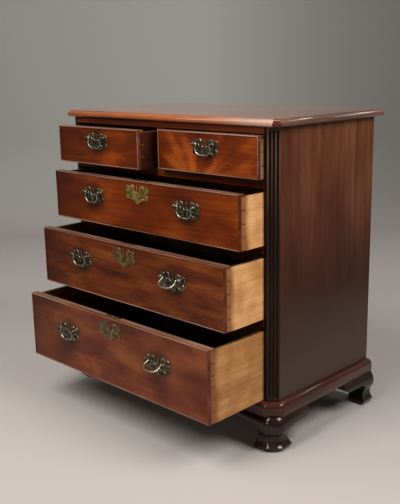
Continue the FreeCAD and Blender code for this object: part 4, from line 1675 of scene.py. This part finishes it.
@dataclass
class Studio:
    """Pale seamless floor and grey wall, soft lamps and the camera of the photograph.

    Sizes are in metres, angles in degrees and the lens in millimetres.
    """

    camera_place: Place = (1.5415, -1.6309, 0.9698)
    yaw: float = -44.61
    pitch: float = -13.68
    roll: float = -1.11
    lens: float = 55.51
    wall_distance: float = 2.75
    cove_radius: float = 0.5
    cove_steps: int = 16
    paper_half_width: float = 1.5
    paper_front: float = 1.9
    wall_height: float = 3.2
    floor_fade: tuple[float, float] = (2.2, 2.72)
    side_fade: tuple[float, float] = (-1.3, 1.3)

    def heading(self) -> Vector:
        """Level direction in which the camera looks."""
        return Vector((math.sin(math.radians(self.yaw)), math.cos(math.radians(self.yaw)), 0))

    def build_camera(self) -> None:
        """Places the camera as fitted to the photograph."""
        yaw, pitch, roll = (math.radians(a) for a in (self.yaw, self.pitch, self.roll))
        ahead = Vector((math.sin(yaw) * math.cos(pitch), math.cos(yaw) * math.cos(pitch), math.sin(pitch)))
        right = Vector((math.cos(yaw), -math.sin(yaw), 0))
        up = right.cross(ahead)
        tilted_right = right * math.cos(roll) + up * math.sin(roll)
        tilted_up = up * math.cos(roll) - right * math.sin(roll)
        turn = Matrix((tilted_right, tilted_up, -ahead)).transposed().to_4x4()
        camera = bpy.data.objects.new("camera", bpy.data.cameras.new("camera"))
        bpy.context.scene.collection.objects.link(camera)
        camera.matrix_world = Matrix.Translation(self.camera_place) @ turn
        camera.data.lens = self.lens
        bpy.context.scene.camera = camera

    def build_sweep(self) -> None:
        """Models the floor, which curves up into the wall behind the chest."""
        bpy.ops.mesh.primitive_plane_add(size=1)
        sweep = bpy.context.active_object
        sweep.name = "studio_sweep"
        select_only(sweep)
        edge_y = self.wall_distance - self.cove_radius
        depth = self.paper_front + edge_y
        sweep.data.transform(
            Matrix.Translation((0, edge_y - depth / 2, 0))
            @ Matrix.Diagonal((2 * self.paper_half_width, depth, 1, 1))
        )
        bpy.ops.object.mode_set(mode="EDIT")
        bpy.ops.mesh.select_mode(type="EDGE")
        for k in range(self.cove_steps + 1):
            bpy.ops.mesh.select_all(action="DESELECT")
            mesh = bmesh.from_edit_mesh(sweep.data)
            last = max((v.co.y, v.co.z) for v in mesh.verts)
            for edge in mesh.edges:
                edge.select_set(all(abs(v.co.y - last[0]) + abs(v.co.z - last[1]) < 1e-4 for v in edge.verts))
            bmesh.update_edit_mesh(sweep.data)
            if k < self.cove_steps:
                angle = math.pi / 2 * (k + 1) / self.cove_steps
                goal = (edge_y + self.cove_radius * math.sin(angle), self.cove_radius * (1 - math.cos(angle)))
            else:
                goal = (last[0] + 1e-3, self.wall_height)
            bpy.ops.mesh.extrude_region_move(
                TRANSFORM_OT_translate={"value": (0, goal[0] - last[0], goal[1] - last[1])}
            )
        bpy.ops.object.mode_set(mode="OBJECT")
        sweep.data.transform(Matrix.Rotation(-math.radians(self.yaw), 4, "Z"))
        bpy.ops.object.shade_smooth()
        sweep.data.materials.append(self.paper())

    def paper(self) -> Material:
        """Makes matt background paper, pale on the floor and grey on the wall, with painted shade on the wall
        towards the right.

        Returns:
            The material.
        """
        material, tree, surface = blank_material("matt_background_paper")
        place = add_node(tree, "TexCoord").outputs["Object"]
        heading = self.heading()
        shares = []
        to_right = (heading.y, -heading.x, 0.0)
        for direction, (start, end) in ((heading, self.floor_fade), (to_right, self.side_fade)):
            along = add_node(tree, "VectorMath", {0: place, 1: tuple(direction)}, operation="DOT_PRODUCT")
            share = add_node(
                tree,
                "MapRange",
                {"Value": along.outputs["Value"], "From Min": start, "From Max": end},
                interpolation_type="SMOOTHSTEP",
            )
            shares.append(share.outputs[0])
        floor, wall = (
            add_node(tree, "ValToRGB", {"Fac": shares[1]}, stops=stops)
            for stops in (
                [(0.0, "#ada6a3"), (0.5, "#afa8a5"), (0.9, "#a7a09e")],
                # Wall: painted shade, darker towards the right
                [(0.0, "#a4a29e"), (0.5, "#aaa8a4"), (1.0, "#84827e")],
            )
        )
        colour = add_node(
            tree,
            "Mix",
            {SHARE: shares[0], COLOUR_A: floor.outputs[0], COLOUR_B: wall.outputs[0]},
            data_type="RGBA",
        )
        shader = add_node(tree, "BsdfPrincipled", {"Base Color": colour.outputs[MIXED], "Roughness": 0.9})
        tree.links.new(shader.outputs[0], surface)
        return material

    def lamp(self, name: str, place: Place, target: Place, size: Point, watts: float, colour: str) -> None:
        """Hangs one soft box.

        Args:
            name: Name of the lamp.
            place: Where it hangs.
            target: Point that it faces.
            size: Width and height.
            watts: Power.
            colour: Colour of its light.
        """
        light = bpy.data.lights.new(name, "AREA")
        light.shape = "RECTANGLE"
        light.size, light.size_y = size
        light.energy = watts
        light.color = linear(colour)[:3]
        lamp = bpy.data.objects.new(name, light)
        bpy.context.scene.collection.objects.link(lamp)
        lamp.location = place
        lamp.rotation_euler = (Vector(target) - Vector(place)).to_track_quat("-Z", "Y").to_euler()

    def build_lamps(self) -> None:
        """Hangs the soft boxes, and sets the dim room light and the grey seen beyond the paper."""
        self.lamp("soft_box_front", (-0.1, -2.15, 3.0), (0.1, -0.3, 0.4), (1.4, 2.2), 105, "#fffcf8")
        self.lamp("soft_box_right", (1.95, 0.15, 2.3), (0.3, 0, 0.45), (1.3, 1.3), 60, "#fffcf8")
        self.lamp("soft_box_over", (-1.0, -0.4, 3.0), (-0.2, 0.2, 0.3), (1.6, 1.6), 8, "#fffdfa")
        self.lamp("strip_box_behind", (0.7, 2.1, 2.6), (0.2, 0, 0.8), (1.4, 0.15), 4, "#fffdfa")
        self.lamp("strip_box_side", (0.75, 2.1, 1.75), (0.4, 0, 0.1), (1.1, 0.18), 2.5, "#fffdfa")
        self.lamp("small_box_low", (0.45, -2.7, 1.05), (0.4, -0.2, 0.1), (0.5, 0.4), 5, "#fffdfa")
        self.lamp("strip_box_left", (-1.44, -1.75, 2.35), (0.2, -0.25, 0.8), (0.35, 1.7), 12, "#fffdfa")
        world = bpy.data.worlds.new("studio_room")
        bpy.context.scene.world = world
        world.use_nodes = True
        tree = world.node_tree
        tree.nodes.clear()
        dim = add_node(tree, "Background", {"Color": linear("#a8a6a2"), "Strength": 0.1})
        seen = add_node(tree, "Background", {"Color": linear("#807e7a"), "Strength": 1.0})
        path = add_node(tree, "LightPath")
        rays = path.outputs["Is Camera Ray"]
        for kind in ("Is Glossy Ray", "Is Transmission Ray"):
            rays = add_node(tree, "Math", {0: rays, 1: path.outputs[kind]}, operation="MAXIMUM").outputs[0]
        both = add_node(tree, "MixShader", {0: rays, 1: dim.outputs[0], 2: seen.outputs[0]})
        add_node(tree, "OutputWorld", {"Surface": both.outputs[0]})

    def build(self) -> None:
        """Builds the studio."""
        self.build_camera()
        self.build_sweep()
        self.build_lamps()
        bpy.context.scene.view_settings.view_transform = "Standard"


def main() -> None:
    """Builds the chest and its studio."""
    logging.basicConfig(level=logging.INFO, format="%(name)s: %(message)s")
    workshop = Workshop()
    Studio().build()
    Carcass(workshop).build()
    brasses = Brasses(workshop)
    brasses.build_patterns()
    for name in FRONT_WOODS:
        Drawer(name, workshop, brasses).build()
    brasses.drop_patterns()


if __name__ == "__main__":
    main()
